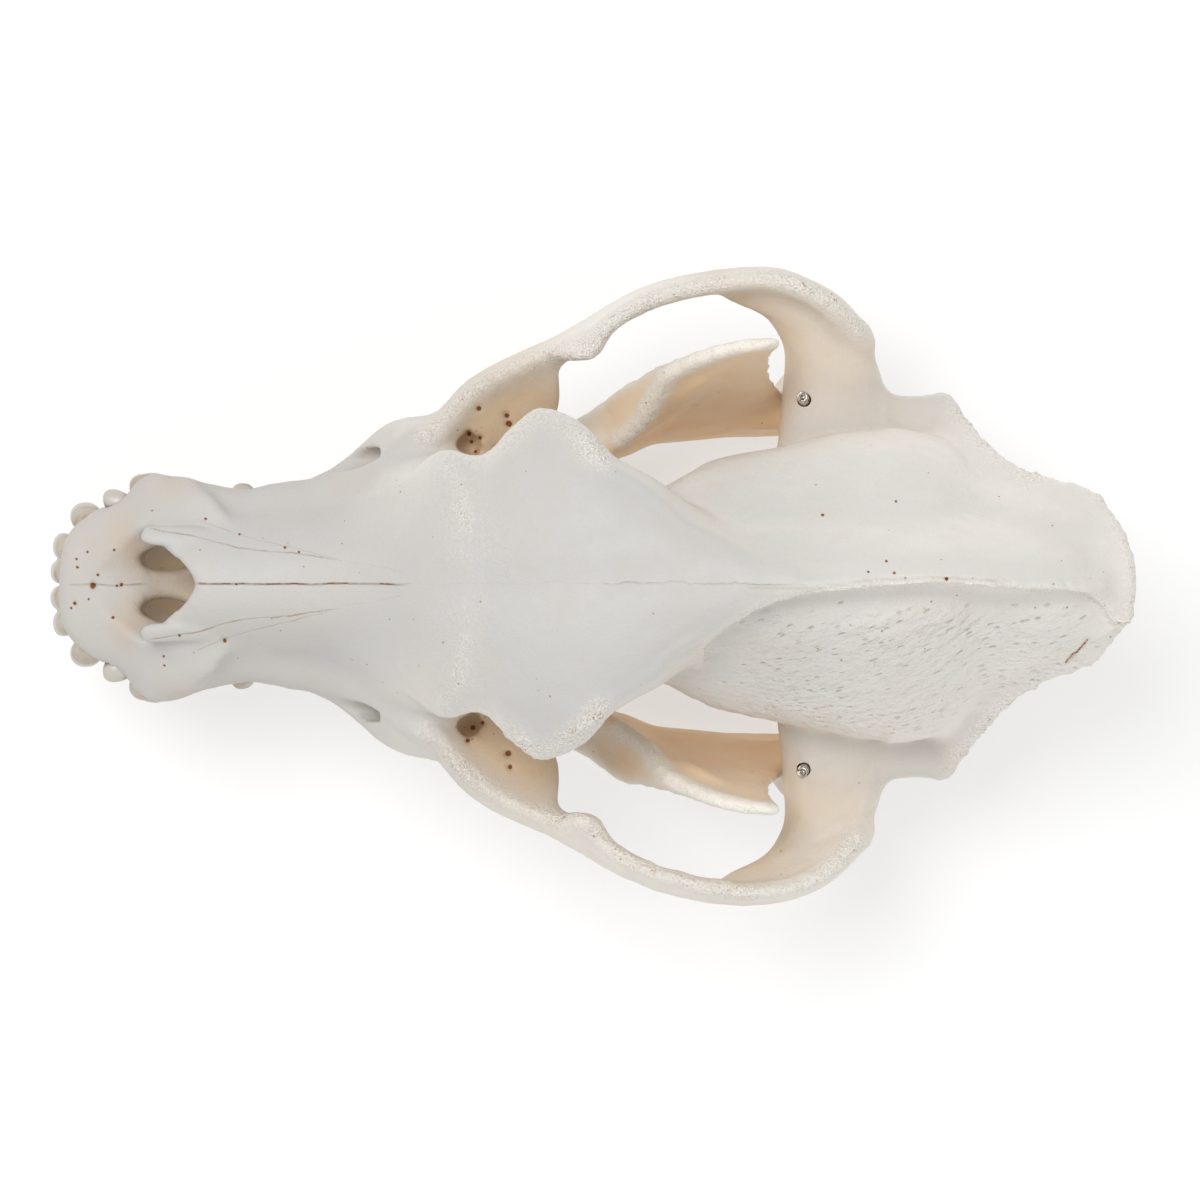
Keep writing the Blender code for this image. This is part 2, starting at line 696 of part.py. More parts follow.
def crown(s, x, half_width, gum, height, cusps, root=5.0, sides=6):
    """Cheek tooth: a blade along the jaw whose edge rises to cusps, given as (place, share of the height).

    The height is negative on an upper tooth.
    """
    place, share = np.array(cusps, float).T
    up = math.copysign(1, height)
    across, rise = squared(sides, 2.0)
    centre = (x[0] + (x[1] - x[0]) * place)[:, None]
    body = half_width * (1 - 0.72 * np.abs(2 * place - 1) ** 3)[:, None]
    tall = np.where(rise > 0, (abs(height) * share)[:, None] * rise, root * rise)
    xs = centre + body * (1 - 0.35 * np.maximum(rise, 0)) * across
    ys = np.broadcast_to((s[0] + (s[1] - s[0]) * place)[:, None] - MIDDLE, xs.shape)
    return closed_tube(np.stack([xs, ys, gum + up * tall], -1))


PREMOLAR = [(0, 0.25), (0.2, 0.5), (0.45, 1), (0.7, 0.48), (0.82, 0.5), (1, 0.22)]
UPPER_CARNASSIAL = [(0, 0.2), (0.14, 0.45), (0.4, 1), (0.58, 0.5), (0.78, 0.68), (1, 0.25)]
LOWER_CARNASSIAL = [(0, 0.2), (0.2, 0.66), (0.34, 0.5), (0.5, 1), (0.66, 0.42), (0.84, 0.5), (1, 0.22)]
TWO_CUSPS = [(0, 0.3), (0.26, 1), (0.5, 0.6), (0.74, 0.9), (1, 0.3)]
ONE_CUSP = [(0, 0.35), (0.4, 1), (1, 0.4)]

# s of front and back, x there, half width, height and cusps of each upper cheek tooth
UPPER_ROW = [
    ((37, 41.4), (18.6, 18.8), 1.8, -5.0, ONE_CUSP),
    ((42.6, 51.4), (18.7, 20), 2.1, -7.5, PREMOLAR),
    ((53, 64), (20.2, 23.6), 2.4, -9.0, PREMOLAR),
    ((65, 84.4), (24.6, 31.4), 3.3, -12.0, UPPER_CARNASSIAL),
    ((84.8, 95.2), (31, 30.4), 2.8, -6.4, TWO_CUSPS),
    ((86, 94.4), (25.8, 25.6), 3.8, -3.6, ONE_CUSP),
    ((95.6, 101.4), (28.4, 27), 2.3, -4.4, TWO_CUSPS),
    ((96, 101), (24, 23.6), 2.6, -3.0, ONE_CUSP),
]
LOWER_ROW = [
    ((35.6, 39.4), (13.2, 14.2), 1.7, 4.0, ONE_CUSP),
    ((41, 49.4), (14.6, 16.4), 2.0, 6.4, PREMOLAR),
    ((50.4, 59.4), (16.8, 19.3), 2.1, 7.0, PREMOLAR),
    ((60.4, 71), (19.7, 22.8), 2.4, 8.4, PREMOLAR),
    ((72, 93.6), (23.2, 26.6), 3.1, 12.4, LOWER_CARNASSIAL),
    ((94.2, 101.8), (26.8, 27.1), 2.7, 5.4, TWO_CUSPS),
    ((102.4, 106.2), (27.2, 27.4), 1.9, 3.6, ONE_CUSP),
]


def cheek_teeth(row, gum):
    return [crown(s, x, width, gum, height, cusps) for s, x, width, height, cusps in row]


def front_tooth(path, side, up, upward=(0, 1, 0)):
    """Incisor or canine: a tapering rod from deep in the socket to the tip."""
    return rod(path, side, up, upward=upward, back=1.2, count=7, sides=7)


def upper_front_teeth():
    """Three incisors and the canine of one side, each from its root to its tip."""
    first = front_tooth(
        [(2.2, 10, 47), (2.4, 4.8, 41), (2.6, 2.2, 35), (2.7, 1.3, 31.5)],
        [1.8, 2.1, 2.3, 1.7],
        [1.8, 2.2, 1.8, 0.9],
    )
    second = front_tooth(
        [(6, 11, 47), (7, 5.8, 41), (7.5, 3, 35), (7.8, 2.2, 31)],
        [1.9, 2.3, 2.5, 1.7],
        [1.9, 2.3, 1.9, 0.9],
    )
    third = front_tooth(
        [(10, 13.4, 47), (12, 9.6, 41), (13.2, 7.4, 35), (13.6, 7.2, 29.4)],
        [2, 2.5, 2.4, 0.9],
        [2.1, 2.8, 2.6, 0.9],
    )
    canine = front_tooth(
        [(17.6, 30, 54), (19.4, 23.4, 45), (20.6, 20.4, 38), (21.5, 20.4, 30), (21.7, 23.4, 21)],
        [2.6, 3, 2.9, 2.3, 0.7],
        [3.4, 4.2, 3.9, 2.9, 0.8],
    )
    return [first, second, third, canine]


LOWER_CANINE = [(9.6, 27, 16), (10.8, 22, 24), (13.2, 17.4, 32), (16.2, 14.6, 40), (18.2, 13.8, 45.4)]
LOWER_CANINE_SIDE = [2.2, 3, 2.9, 2.4, 1.1]
LOWER_CANINE_UP = [3, 4, 3.7, 2.9, 1.2]


def lower_front_teeth():
    first = front_tooth([(1.9, 12, 20), (2, 8.6, 27), (2.1, 6.8, 33.4)], [1.2, 1.4, 1], [1.6, 1.8, 0.8])
    second = front_tooth([(4.2, 12.6, 20), (4.9, 9, 27), (5.3, 7.2, 33.6)], [1.3, 1.6, 1.1], [1.7, 1.9, 0.8])
    third = front_tooth([(6.6, 14, 20), (8, 10.6, 27), (9, 9.4, 33.6)], [1.4, 1.8, 1], [1.8, 2.1, 0.9])
    canine = front_tooth(LOWER_CANINE, LOWER_CANINE_SIDE, LOWER_CANINE_UP)
    return [first, second, third, canine]


# Lower jaw


def jaw_bone():
    """One half of the lower jaw: body, ramus with its front edge, condyle and angular process."""
    body = plate(
        [
            (2.6, 6.6, 27),
            (4.6, 10.5, 28),
            (8.6, 19, 28),
            (11.6, 30, 26.8),
            (14.4, 42, 26.5),
            (17.6, 54, 27),
            (21, 66, 27.3),
            (24.4, 80, 27.6),
            (26.6, 94, 28),
            (27.8, 106, 29),
            (30, 118, 34),
        ],
        [
            (2.6, 9.5, 20),
            (3, 17, 14),
            (5.4, 26, 9.5),
            (10.6, 36, 6),
            (14.4, 47, 3.4),
            (18.2, 59, 1.4),
            (22, 72, 0),
            (25, 86, -SINK),
            (27.4, 98, -SINK),
            (29.4, 110, 0.8),
            (31.5, 122, 3.4),
        ],
        [3.6, 5, 6, 5, 4.3, 4.3, 4.7, 5.1, 4.8, 4.1, 3.2],
        front=2,
        back=6,
        count=80,
        sides=32,
    )
    ramus = stack(
        z=[3, 8, 12, 20, 28, 36, 44, 52, 60, 66, 70, 72],
        s_front=[120, 115, 112, 109.6, 110, 113, 116.5, 119, 123, 127.5, 132.5, 137.5],
        s_back=[146, 150, 152, 153, 152.5, 149, 145.5, 143.6, 143.4, 144.4, 145.2, 144],
        x_front=[31, 30.8, 30.4, 30.4, 31.8, 34.8, 36.5, 38, 40.2, 42.2, 43.8, 44.8],
        x_back=[33.5, 34, 34.5, 34.8, 35.2, 36.3, 38.5, 41, 43.4, 45, 46, 46],
        thick=[2, 2.4, 2.6, 2.6, 2.4, 2.1, 1.9, 1.7, 1.6, 1.5, 1.4, 1.2],
        square=2.8,
        back=1.5,
        count=80,
        sides=56,
    )
    front_edge = rod(
        [
            (27.2, 101, 25),
            (29.4, 107.6, 29),
            (33.2, 113.6, 37),
            (36.8, 118.4, 48),
            (40.2, 123.6, 60),
            (43.4, 132, 68.6),
            (45.6, 140, 71.2),
        ],
        side=[4, 4, 3.6, 2.8, 2.2, 1.7, 1.5],
        up=[4, 4.2, 3.2, 2.6, 2, 1.5, 1.3],
        upward=(0, 1, 0.3),
        back=1,
        count=60,
    )
    condyle = egg(CONDYLE, CONDYLE_HALF, CONDYLE_TURN)
    neck = rod([(34.5, 139, 24), (35.5, 146, 30), (37, 150.5, 34)], side=[3.2, 4.6, 8], up=[8, 5, 3], back=2)
    angular_process = rod(
        [(33, 138, 9.6), (33.5, 147, 6.2), (33.5, 153, 3.6), (33, 158.4, 3.4)],
        side=[2.8, 3, 2.8, 1.8],
        up=[8, 6, 4.4, 2.4],
        back=3,
    )
    return [body, ramus, front_edge, condyle, neck, angular_process]


def jaw_hollows():
    """The hollow for the chewing muscle outside the ramus, and the small foramen near the chin."""
    return [egg((42.5, 132, 32), (6.6, 14, 19), turn=(0, 14, 0)), egg((16, 30, 15), (3.4, 1.9, 1.5))]


# Whole bones


def material(name, colour, roughness, metallic=0.0):
    made = bpy.data.materials.new(name)
    made.use_nodes = True
    shader = made.node_tree.nodes["Principled BSDF"]
    shader.inputs["Base Color"].default_value = (*colour, 1)
    shader.inputs["Roughness"].default_value = roughness
    shader.inputs["Metallic"].default_value = metallic
    return made


def finished(name, points, faces, finish):
    """The piece in metres, smooth shaded and with its material."""
    obj = mesh_object(name, (points * METRES, faces))
    obj.data.materials.append(finish)
    obj.data.shade_smooth()
    obj.data.set_sharp_from_angle(angle=math.radians(40))
    return obj


def with_teeth(bone, teeth):
    """Points and triangles of a bone once its teeth are fused to it."""
    obj = mesh_object("bone", bone)
    combined(obj, [mesh_object("tooth", tooth) for tooth in teeth], "UNION")
    return largest_surface(obj)


def bore():
    """Hole that each spring runs in, from over the socket down into the condyle."""
    x, s = SPRING_AT
    path = [(x, s, SPRING_TOP + 18), (x, s, SPRING_FOOT - GAP)]
    return rod(path, SPRING_BORE, SPRING_BORE, upward=(0, 1, 0), square=2, count=3, sides=12)


def cranium_bones():
    """Braincase, face and both cheek bones, parted by thin cuts along their seams."""
    whole = fused("cranium", muzzle() + brow() + brain_box() + side_of_ear() + underside() + cheek(), GRAIN)
    combined(whole, [fused("openings", openings(), FINE_GRAIN)], "DIFFERENCE")
    whole = settled(fused("cranium_skin", [largest_surface(whole)], GRAIN), fill=14, even=4)
    thinned(whole, CRANIUM_TRIANGLES)
    socket = egg(CONDYLE, np.array(CONDYLE_HALF) + JOINT_SPACE, CONDYLE_TURN, count=10, sides=16)
    groove = rod(
        LOWER_CANINE[2:],
        np.array(LOWER_CANINE_SIDE[2:]) + 2 * GAP,
        np.array(LOWER_CANINE_UP[2:]) + 2 * GAP,
        upward=(0, 1, 0),
        back=1,
        count=8,
        sides=10,
    )
    waist_seam = slab((0, WAIST_SEAM, 60), one_way=(1, 0, 0), other_way=(0, 0, 1), one_size=36, other_size=60)
    front_seam = slab((41, 95, 50), one_way=(-11, 18, 0), other_way=(0, 0, 1), one_size=13, other_size=20)
    back_seam = slab((57, 129, 53), one_way=(1, 0, 0), other_way=(0, 26, -18), one_size=14, other_size=24)
    cuts = [waist_seam]
    for paired in (socket, groove, bore(), front_seam, back_seam):
        cuts += both(paired)
    for cut in cuts:
        combined(whole, [mesh_object("cut", cut)], "DIFFERENCE")
    bones = [bone for bone in surfaces(whole) if bone[0] > LEAST_BONE]
    bpy.data.objects.remove(whole)
    return bones


def add_cranium(finish):
    one_side = cheek_teeth(UPPER_ROW, UPPER_GUM) + upper_front_teeth()
    teeth = one_side + [mirrored(tooth) for tooth in one_side]
    for _, middle, points, faces in cranium_bones():
        if abs(middle[0]) > CHEEK_FROM:
            name = "zygomatic_left" if middle[0] > 0 else "zygomatic_right"
            finished(name, points, faces, finish)
        elif middle[1] > WAIST_SEAM - MIDDLE:
            finished("braincase", points, faces, finish)
        else:
            finished("face", *with_teeth((points, faces), teeth), finish)


def add_jaw(finish):
    """The left half of the lower jaw, and its mirror image."""
    bone = fused("jaw", jaw_bone(), GRAIN)
    combined(bone, [mesh_object("hollow", hollow) for hollow in jaw_hollows()], "DIFFERENCE")
    bone = settled(fused("jaw_skin", [largest_surface(bone)], GRAIN), fill=10, even=4)
    thinned(bone, JAW_TRIANGLES)
    below_floor = block((-30, -20, -30), (80, 240, 0))
    past_middle = block((-40, -20, -10), (GAP / 2, 80, 90))
    for trim in (below_floor, past_middle, bore()):
        combined(bone, [mesh_object("trim", trim)], "DIFFERENCE")
    points, faces = with_teeth(largest_surface(bone), cheek_teeth(LOWER_ROW, LOWER_GUM) + lower_front_teeth())
    finished("mandible_left", points, faces, finish)
    finished("mandible_right", *mirrored((points, faces)), finish)


def spring():
    """Close coil of steel wire, up through the socket."""
    rise = SPRING_TOP - SPRING_FOOT - 2 * SPRING_WIRE
    t = np.linspace(0, 1, SPRING_TURNS * SPRING_SIDES + 1)
    turn = 2 * math.pi * SPRING_TURNS * t
    x, s = SPRING_AT
    outward = np.stack([np.cos(turn), np.sin(turn), 0 * turn], -1)
    foot = np.array([x, s - MIDDLE, SPRING_FOOT + SPRING_WIRE])
    centre = foot + SPRING_COIL * outward + rise * t[:, None] * (0, 0, 1)
    across, lift = squared(4, 2.0)
    up = np.array([0, 0, 1.0])
    grid = centre[:, None] + SPRING_WIRE * (across[..., None] * outward[:, None] + lift[..., None] * up)
    return closed_tube(grid)


def centred(objects):
    """Moves the points so that the whole skull's length is centred on the origin."""
    reach = [corner[1] for obj in objects for corner in obj.bound_box]
    offset = (max(reach) + min(reach)) / 2
    for obj in objects:
        obj.data.transform(Matrix.Translation((0, -offset, 0)))


def main():
    for obj in list(bpy.data.objects):
        bpy.data.objects.remove(obj)
    add_cranium(material("bone", BONE, 0.6))
    add_jaw(material("jaw bone", JAW_BONE, 0.6))
    steel = material("steel", STEEL, 0.35, 1.0)
    finished("jaw_spring_left", *spring(), steel)
    finished("jaw_spring_right", *mirrored(spring()), steel)
    centred(list(bpy.data.objects))


main()
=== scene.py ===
"""Dog skull at life size: the bones, teeth and springs as they are seen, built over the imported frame.

The nose points to -Y, the animal's left is +X and +Z is up. Tables are in millimetres for a skull seen from
its front: s runs back from the tips of the incisors, x out from the middle and z up from the floor.
"""

import math

import bpy
import numpy as np
from bpy.props import FloatProperty, FloatVectorProperty, IntProperty, PointerProperty
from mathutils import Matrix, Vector


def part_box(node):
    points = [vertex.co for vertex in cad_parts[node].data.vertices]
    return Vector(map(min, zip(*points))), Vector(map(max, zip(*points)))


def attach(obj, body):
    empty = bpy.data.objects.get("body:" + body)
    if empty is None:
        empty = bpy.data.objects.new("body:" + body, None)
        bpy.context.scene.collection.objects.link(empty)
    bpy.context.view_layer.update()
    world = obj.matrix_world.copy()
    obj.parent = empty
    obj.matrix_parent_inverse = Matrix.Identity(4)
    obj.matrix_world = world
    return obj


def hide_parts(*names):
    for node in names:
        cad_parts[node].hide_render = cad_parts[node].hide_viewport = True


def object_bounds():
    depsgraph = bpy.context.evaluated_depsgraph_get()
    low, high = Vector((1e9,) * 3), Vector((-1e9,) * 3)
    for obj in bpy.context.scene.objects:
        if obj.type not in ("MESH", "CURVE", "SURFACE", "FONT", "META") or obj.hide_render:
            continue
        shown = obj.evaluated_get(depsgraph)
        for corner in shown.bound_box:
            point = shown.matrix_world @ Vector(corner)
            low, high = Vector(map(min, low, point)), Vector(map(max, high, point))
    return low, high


bl_info = {
    "name": "Dog skull",
    "version": (1, 0, 0),
    "blender": (4, 5, 0),
    "location": "3D View > Sidebar > Skull",
    "description": "Builds the bones, teeth and springs of a life-size dog skull, its floor and its light",
    "category": "Add Mesh",
}

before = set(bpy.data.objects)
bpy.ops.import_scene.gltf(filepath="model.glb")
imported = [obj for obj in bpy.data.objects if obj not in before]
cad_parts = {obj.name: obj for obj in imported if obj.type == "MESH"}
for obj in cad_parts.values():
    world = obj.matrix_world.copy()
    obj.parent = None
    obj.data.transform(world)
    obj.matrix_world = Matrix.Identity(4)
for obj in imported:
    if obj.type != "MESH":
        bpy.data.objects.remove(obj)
CAD_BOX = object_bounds()

METRES = 0.001
SPRING_AT = (36.3, 150.0)  # x and s of the jaw's springs
SPRING_LOW, SPRING_HIGH = (np.array(corner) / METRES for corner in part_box("jaw_spring_left"))
MIDDLE = SPRING_AT[1] - (SPRING_LOW[1] + SPRING_HIGH[1]) / 2  # s of the frame's origin

CONDYLE = (37.0, 150.6, 35.4)  # x, s and z of the middle of the jaw's condyle
CONDYLE_HALF = (10.6, 4.0, 3.6)  # its half widths
CONDYLE_TURN = (0.0, 4.0, 8.0)  # its turn about X, Y and Z in degrees
JOINT_SPACE = 0.35  # between the jaw's condyle and its socket
BORE = 1.45  # radius of the hole that each spring runs in

WAIST_SEAM = 121.0  # s where the face ends and the braincase starts
UPPER_GUM = 41.6  # height at which the upper cheek teeth leave the bone
LOWER_GUM = 27.4  # height at which the lower cheek teeth leave the bone
UPPER_FRONT_GUM, LOWER_FRONT_GUM = 39.5, 28.5  # the same at the incisors
CUT_OFF = 0.4  # how far the lowest points of the jaw are cut off to make its flats
EYE_CORNER = (27.4, 84.2)  # x and s of the pocket at the inner corner of each orbit


# Sizes and colours that can be changed


def measure(name, description, default, low, high):
    """Length in metres that can be changed between a lowest and a highest value."""
    limits = {"default": default, "min": low, "max": high}
    return FloatProperty(name=name, description=description, subtype="DISTANCE", unit="LENGTH", **limits)


class SkullSizes(bpy.types.PropertyGroup):
    """Sizes of the grids that carry the surfaces, of the crumbs and of the springs"""

    coarse_cell: measure(
        "Coarse cell", "Cell of the grid on which the pieces of a bone grow together", 0.0011, 0.0008, 0.003
    )
    fine_cell: measure(
        "Fine cell", "Cell of the grid that carries the bone's finished surface", 0.0006, 0.0004, 0.002
    )
    tooth_cell: measure(
        "Tooth cell", "Cell of the grid on which a tooth's cusps grow together", 0.0004, 0.0002, 0.001
    )
    roughening: measure(
        "Roughening", "Height of the crumbs on the rough edges of the bones", 0.00022, 0.0, 0.001
    )
    wire: measure("Spring wire", "Thickness of the wire of the jaw's springs", 0.00052, 0.0002, 0.0008)
    spring_turns: IntProperty(
        name="Spring turns", description="Turns in each of the jaw's springs", default=26, min=5, max=40
    )


def colour(name, description, default):
    """Colour that can be changed."""
    return FloatVectorProperty(
        name=name, description=description, default=default, size=3, min=0, max=1, subtype="COLOR"
    )


class SkullColours(bpy.types.PropertyGroup):
    """Colours of the bones, teeth, springs and floor"""

    bone: colour("Bone", "Bleached bone of the face", (0.525, 0.515, 0.498))
    # Pale bone: lighter towards the back and on the cheeks, and painted light on steep sides
    pale_bone_and_painted_light: colour("Pale bone", "Whiter bone of the braincase and cheeks", (0.83, 0.79, 0.73))
    # Warm bone: partly bone that stayed less bleached, partly painted shade where the bone faces down and in
    # hollows
    warm_bone_and_painted_shade: colour("Warm bone", "Bone in hollows and underneath, less bleached", (0.56, 0.42, 0.28))
    # Warm jaw bone: brighter, warmer colour on the jaw's inner faces, painted light that makes up for their
    # shade, partly bone that stayed less bleached
    warm_jaw_and_painted_light: colour("Warm jaw bone", "Inner side of the lower jaw, less bleached", (0.88, 0.62, 0.37))
    # Crumbs: paler crumbly bone, and painted light on the tops of the grains
    crumbs: colour("Crumbs", "Crumbly bone along the edges", (0.88, 0.85, 0.78))
    jaw_bone: colour("Jaw bone", "Bone of the lower jaw", (0.73, 0.675, 0.585))
    stain: colour("Stain", "Rust brown in pinholes and at the heart of sutures", (0.16, 0.045, 0.005))
    tan: colour("Tan", "Paler brown round the stains", (0.36, 0.215, 0.11))
    enamel: colour("Enamel", "Crowns of the teeth", (0.51, 0.48, 0.425))
    neck: colour("Tooth neck", "Teeth where they leave the bone", (0.47, 0.39, 0.29))
    steel: colour("Steel", "Wire of the springs", (0.6, 0.58, 0.54))
    rust: colour("Rust", "Rust on the wire", (0.20, 0.09, 0.04))
    floor: colour("Floor", "Floor under the skull", (0.45, 0.45, 0.45))


# Curves and sections


def through(places, values, at):
    """Smooth curve through values at places that doesn't swing past them.

    Between two places it is a cubic, whose slope at a place is a weighted harmonic mean of the slopes on its
    two sides, or 0 where these have different signs.
    """
    places, values, at = (np.asarray(column, float) for column in (places, values, at))
    gap = np.diff(places)
    slope = np.diff(values) / gap
    tangent = np.zeros_like(values)
    tangent[0], tangent[-1] = slope[0], slope[-1]
    same = slope[:-1] * slope[1:] > 0
    before, after = np.where(same, slope[:-1], 1), np.where(same, slope[1:], 1)
    weight_a = 2 * gap[1:] + gap[:-1]
    weight_b = gap[1:] + 2 * gap[:-1]
    tangent[1:-1] = np.where(same, (weight_a + weight_b) / (weight_a / before + weight_b / after), 0)
    i = np.clip(np.searchsorted(places, at) - 1, 0, len(gap) - 1)
    u = (np.clip(at, places[0], places[-1]) - places[i]) / gap[i]
    return (
        (1 + 2 * u) * (1 - u) ** 2 * values[i]
        + u * (1 - u) ** 2 * gap[i] * tangent[i]
        + u * u * (3 - 2 * u) * values[i + 1]
        + u * u * (u - 1) * gap[i] * tangent[i + 1]
    )


def at_rings(places, rings_at, values):
    """Each value, one number or one for each place, drawn smoothly through the places as a column."""
    spread = [np.broadcast_to(np.asarray(value, float), (len(places),)) for value in values]
    return [through(places, value, rings_at)[:, None] for value in spread]


def along_path(points, t):
    """Places at t, from 0 to 1, on a smooth curve through (x, s, z) points."""
    points = np.asarray(points, float) - (0, MIDDLE, 0)
    spans = len(points) - 1
    held = np.vstack([2 * points[0] - points[1], points, 2 * points[-1] - points[-2]])
    i = np.minimum((t * spans).astype(int), spans - 1)
    u = (t * spans - i)[:, None]
    a, b, c, d = held[i], held[i + 1], held[i + 2], held[i + 3]
    return 0.5 * (2 * b + (c - a) * u + (2 * a - 5 * b + 4 * c - d) * u**2 + (3 * b - a - 3 * c + d) * u**3)


def rings(count, length, front, back):
    """Places of the rings from 0 to 1, and their size, which falls to a point over a rounded end."""
    t = (1 - np.cos(np.linspace(0, math.pi, count))) / 2
    size = np.ones(count)
    for radius, distance in ((front, t * length), (back, (1 - t) * length)):
        if radius:
            inward = 1 - np.minimum(distance / radius, 1)
            size = np.minimum(size, np.sqrt(np.clip(1 - inward**2, 0, 1)))
    return t, np.maximum(size, 0.02)


def squared(sides, square):
    """Cosine and sine round a section that is an ellipse at square 2 and squarer above it."""
    turn = np.linspace(0, 2 * math.pi, sides, endpoint=False)[None]
    return [np.sign(wave) * np.abs(wave) ** (2 / square) for wave in (np.cos(turn), np.sin(turn))]


def closed_tube(grid):
    """Points and triangles of a tube through rings of points, with a fan at each end, facing out."""
    count, sides = grid.shape[:2]
    points = np.vstack([grid.reshape(-1, 3), grid[0].mean(0), grid[-1].mean(0)])
    ring, side = np.meshgrid(np.arange(count - 1), np.arange(sides), indexing="ij")
    following = (side + 1) % sides
    a, b = ring * sides + side, ring * sides + following
    c, d = (ring + 1) * sides + following, (ring + 1) * sides + side
    walls = np.vstack([np.stack([a, b, c], -1).reshape(-1, 3), np.stack([a, c, d], -1).reshape(-1, 3)])
    first = np.arange(sides)
    second = (first + 1) % sides
    last = (count - 1) * sides
    nose = np.stack([np.full(sides, count * sides), second, first], -1)
    tail = np.stack([np.full(sides, count * sides + 1), last + first, last + second], -1)
    faces = np.vstack([walls, nose, tail])
    corner = points[faces]
    volume = np.einsum("ij,ij->", corner[:, 0], np.cross(corner[:, 1], corner[:, 2]))
    return points, faces if volume > 0 else faces[:, ::-1]


# Kinds of piece


def barrel(s, top, base, w_top, w_mid, w_base, square=2.5, droop=0, front=0, back=0, count=60, sides=48):
    """Upright section carried along the skull: top and base are heights, w_ its half widths at three levels.

    droop is how far the top falls from the middle to the edge.
    """
    t, size = rings(count, s[-1] - s[0], front, back)
    at = s[0] + t * (s[-1] - s[0])
    given = (top, base, w_top, w_mid, w_base, square, droop)
    top, base, w_top, w_mid, w_base, square, droop = at_rings(s, at, given)
    size = size[:, None]
    across, upward = squared(sides, square)
    width = w_mid + (w_top - w_base) * upward / 2 + ((w_top + w_base) / 2 - w_mid) * upward**2
    x = across * width * size
    z = (top + base) / 2 + (top - base) / 2 * upward * size - droop * (x / w_top) ** 2
    return closed_tube(np.stack([x, np.broadcast_to(at[:, None] - MIDDLE, x.shape), z], -1))


def plate(edge, root, thick, square=2.5, front=0.0, back=0.0, count=60, sides=24):
    """Flat section stretched between two curves, edge and root, with half its thickness given."""
    length = np.linalg.norm(np.diff((np.asarray(edge, float) + root) / 2, axis=0), axis=1).sum()
    t, size = rings(count, length, front, back)
    a, b = along_path(edge, t), along_path(root, t)
    thick, square = at_rings(np.linspace(0, 1, len(edge)), t, (thick, square))
    centre, reach = (a + b) / 2, (a - b) / 2
    facing = np.cross(np.gradient(centre, axis=0), reach)
    facing /= np.linalg.norm(facing, axis=1)[:, None]
    across, outward = squared(sides, square)
    across = across * thick * size[:, None]
    outward = outward * size[:, None]
    out = across[..., None] * facing[:, None] + outward[..., None] * reach[:, None]
    return closed_tube(centre[:, None] + out)


def rod(path, side, up, upward=(0, 0, 1), square=2.3, front=0.0, back=0.0, count=40, sides=24):
    """Section of half width side and half height up, carried along a path."""
    length = np.linalg.norm(np.diff(np.asarray(path, float), axis=0), axis=1).sum()
    t, size = rings(count, length, front, back)
    centre = along_path(path, t)
    side, up, square = at_rings(np.linspace(0, 1, len(path)), t, (side, up, square))
    ahead = np.gradient(centre, axis=0)
    sideways = np.cross(ahead, upward)
    sideways /= np.linalg.norm(sideways, axis=1)[:, None]
    over = np.cross(sideways, ahead)
    over /= np.linalg.norm(over, axis=1)[:, None]
    across, lift = squared(sides, square)
    across = across * side * size[:, None]
    lift = lift * up * size[:, None]
    out = across[..., None] * sideways[:, None] + lift[..., None] * over[:, None]
    return closed_tube(centre[:, None] + out)


def stack(z, s_front, s_back, x_front, x_back, thick, square=2.5, front=0.0, back=0.0, count=50, sides=40):
    """Level sections piled up: each runs from s_front to s_back, with half its thickness given."""
    t, size = rings(count, z[-1] - z[0], front, back)
    at = z[0] + t * (z[-1] - z[0])
    s_front, s_back, x_front, x_back, thick = at_rings(z, at, (s_front, s_back, x_front, x_back, thick))
    size = size[:, None]
    lengthways, across = squared(sides, square)
    lengthways = lengthways * size
    s = (s_front + s_back) / 2 + (s_back - s_front) / 2 * lengthways
    x = (x_front + x_back) / 2 + (x_back - x_front) / 2 * lengthways + thick * across * size
    return closed_tube(np.stack([x, s - MIDDLE, np.broadcast_to(at[:, None], x.shape)], -1))


def egg(centre, half, turn=(0, 0, 0), count=18, sides=24):
    """Ellipsoid of three half widths, turned by degrees about X, then Y, then Z."""
    polar = np.linspace(0, math.pi, count)[:, None]
    round_about = np.linspace(0, 2 * math.pi, sides, endpoint=False)[None]
    out = np.maximum(np.sin(polar), 0.01)
    up = np.cos(polar) + 0 * round_about
    grid = np.stack([out * np.cos(round_about), out * np.sin(round_about), up], -1)
    (cx, cy, cz), (sx, sy, sz) = np.cos(np.radians(turn)), np.sin(np.radians(turn))
    about_x = np.array([[1, 0, 0], [0, cx, -sx], [0, sx, cx]])
    about_y = np.array([[cy, 0, sy], [0, 1, 0], [-sy, 0, cy]])
    about_z = np.array([[cz, -sz, 0], [sz, cz, 0], [0, 0, 1]])
    place = np.array(centre, float) - (0, MIDDLE, 0)
    return closed_tube((grid * half) @ (about_z @ about_y @ about_x).T + place)


def block(low, high):
    """Box between two corners, given as (x, s, z)."""
    (x0, s0, z0), (x1, s1, z1) = low, high
    ring = [[(x, s - MIDDLE, z) for x, s in ((x0, s0), (x1, s0), (x1, s1), (x0, s1))] for z in (z0, z1)]
    return closed_tube(np.array(ring, float))


def mirrored(piece):
    """The piece's mirror image on the other side of the skull."""
    points, faces = piece
    return points * (-1, 1, 1), faces[:, ::-1]


def both(piece):
    """The piece and its mirror image."""
    return [piece, mirrored(piece)]


# Blender objects from pieces


def joined(pieces):
    """One set of points and triangles out of several closed pieces."""
    starts = np.cumsum([0] + [len(points) for points, _ in pieces])
    faces = [faces + start for (_, faces), start in zip(pieces, starts)]
    return np.vstack([points for points, _ in pieces]), np.vstack(faces)


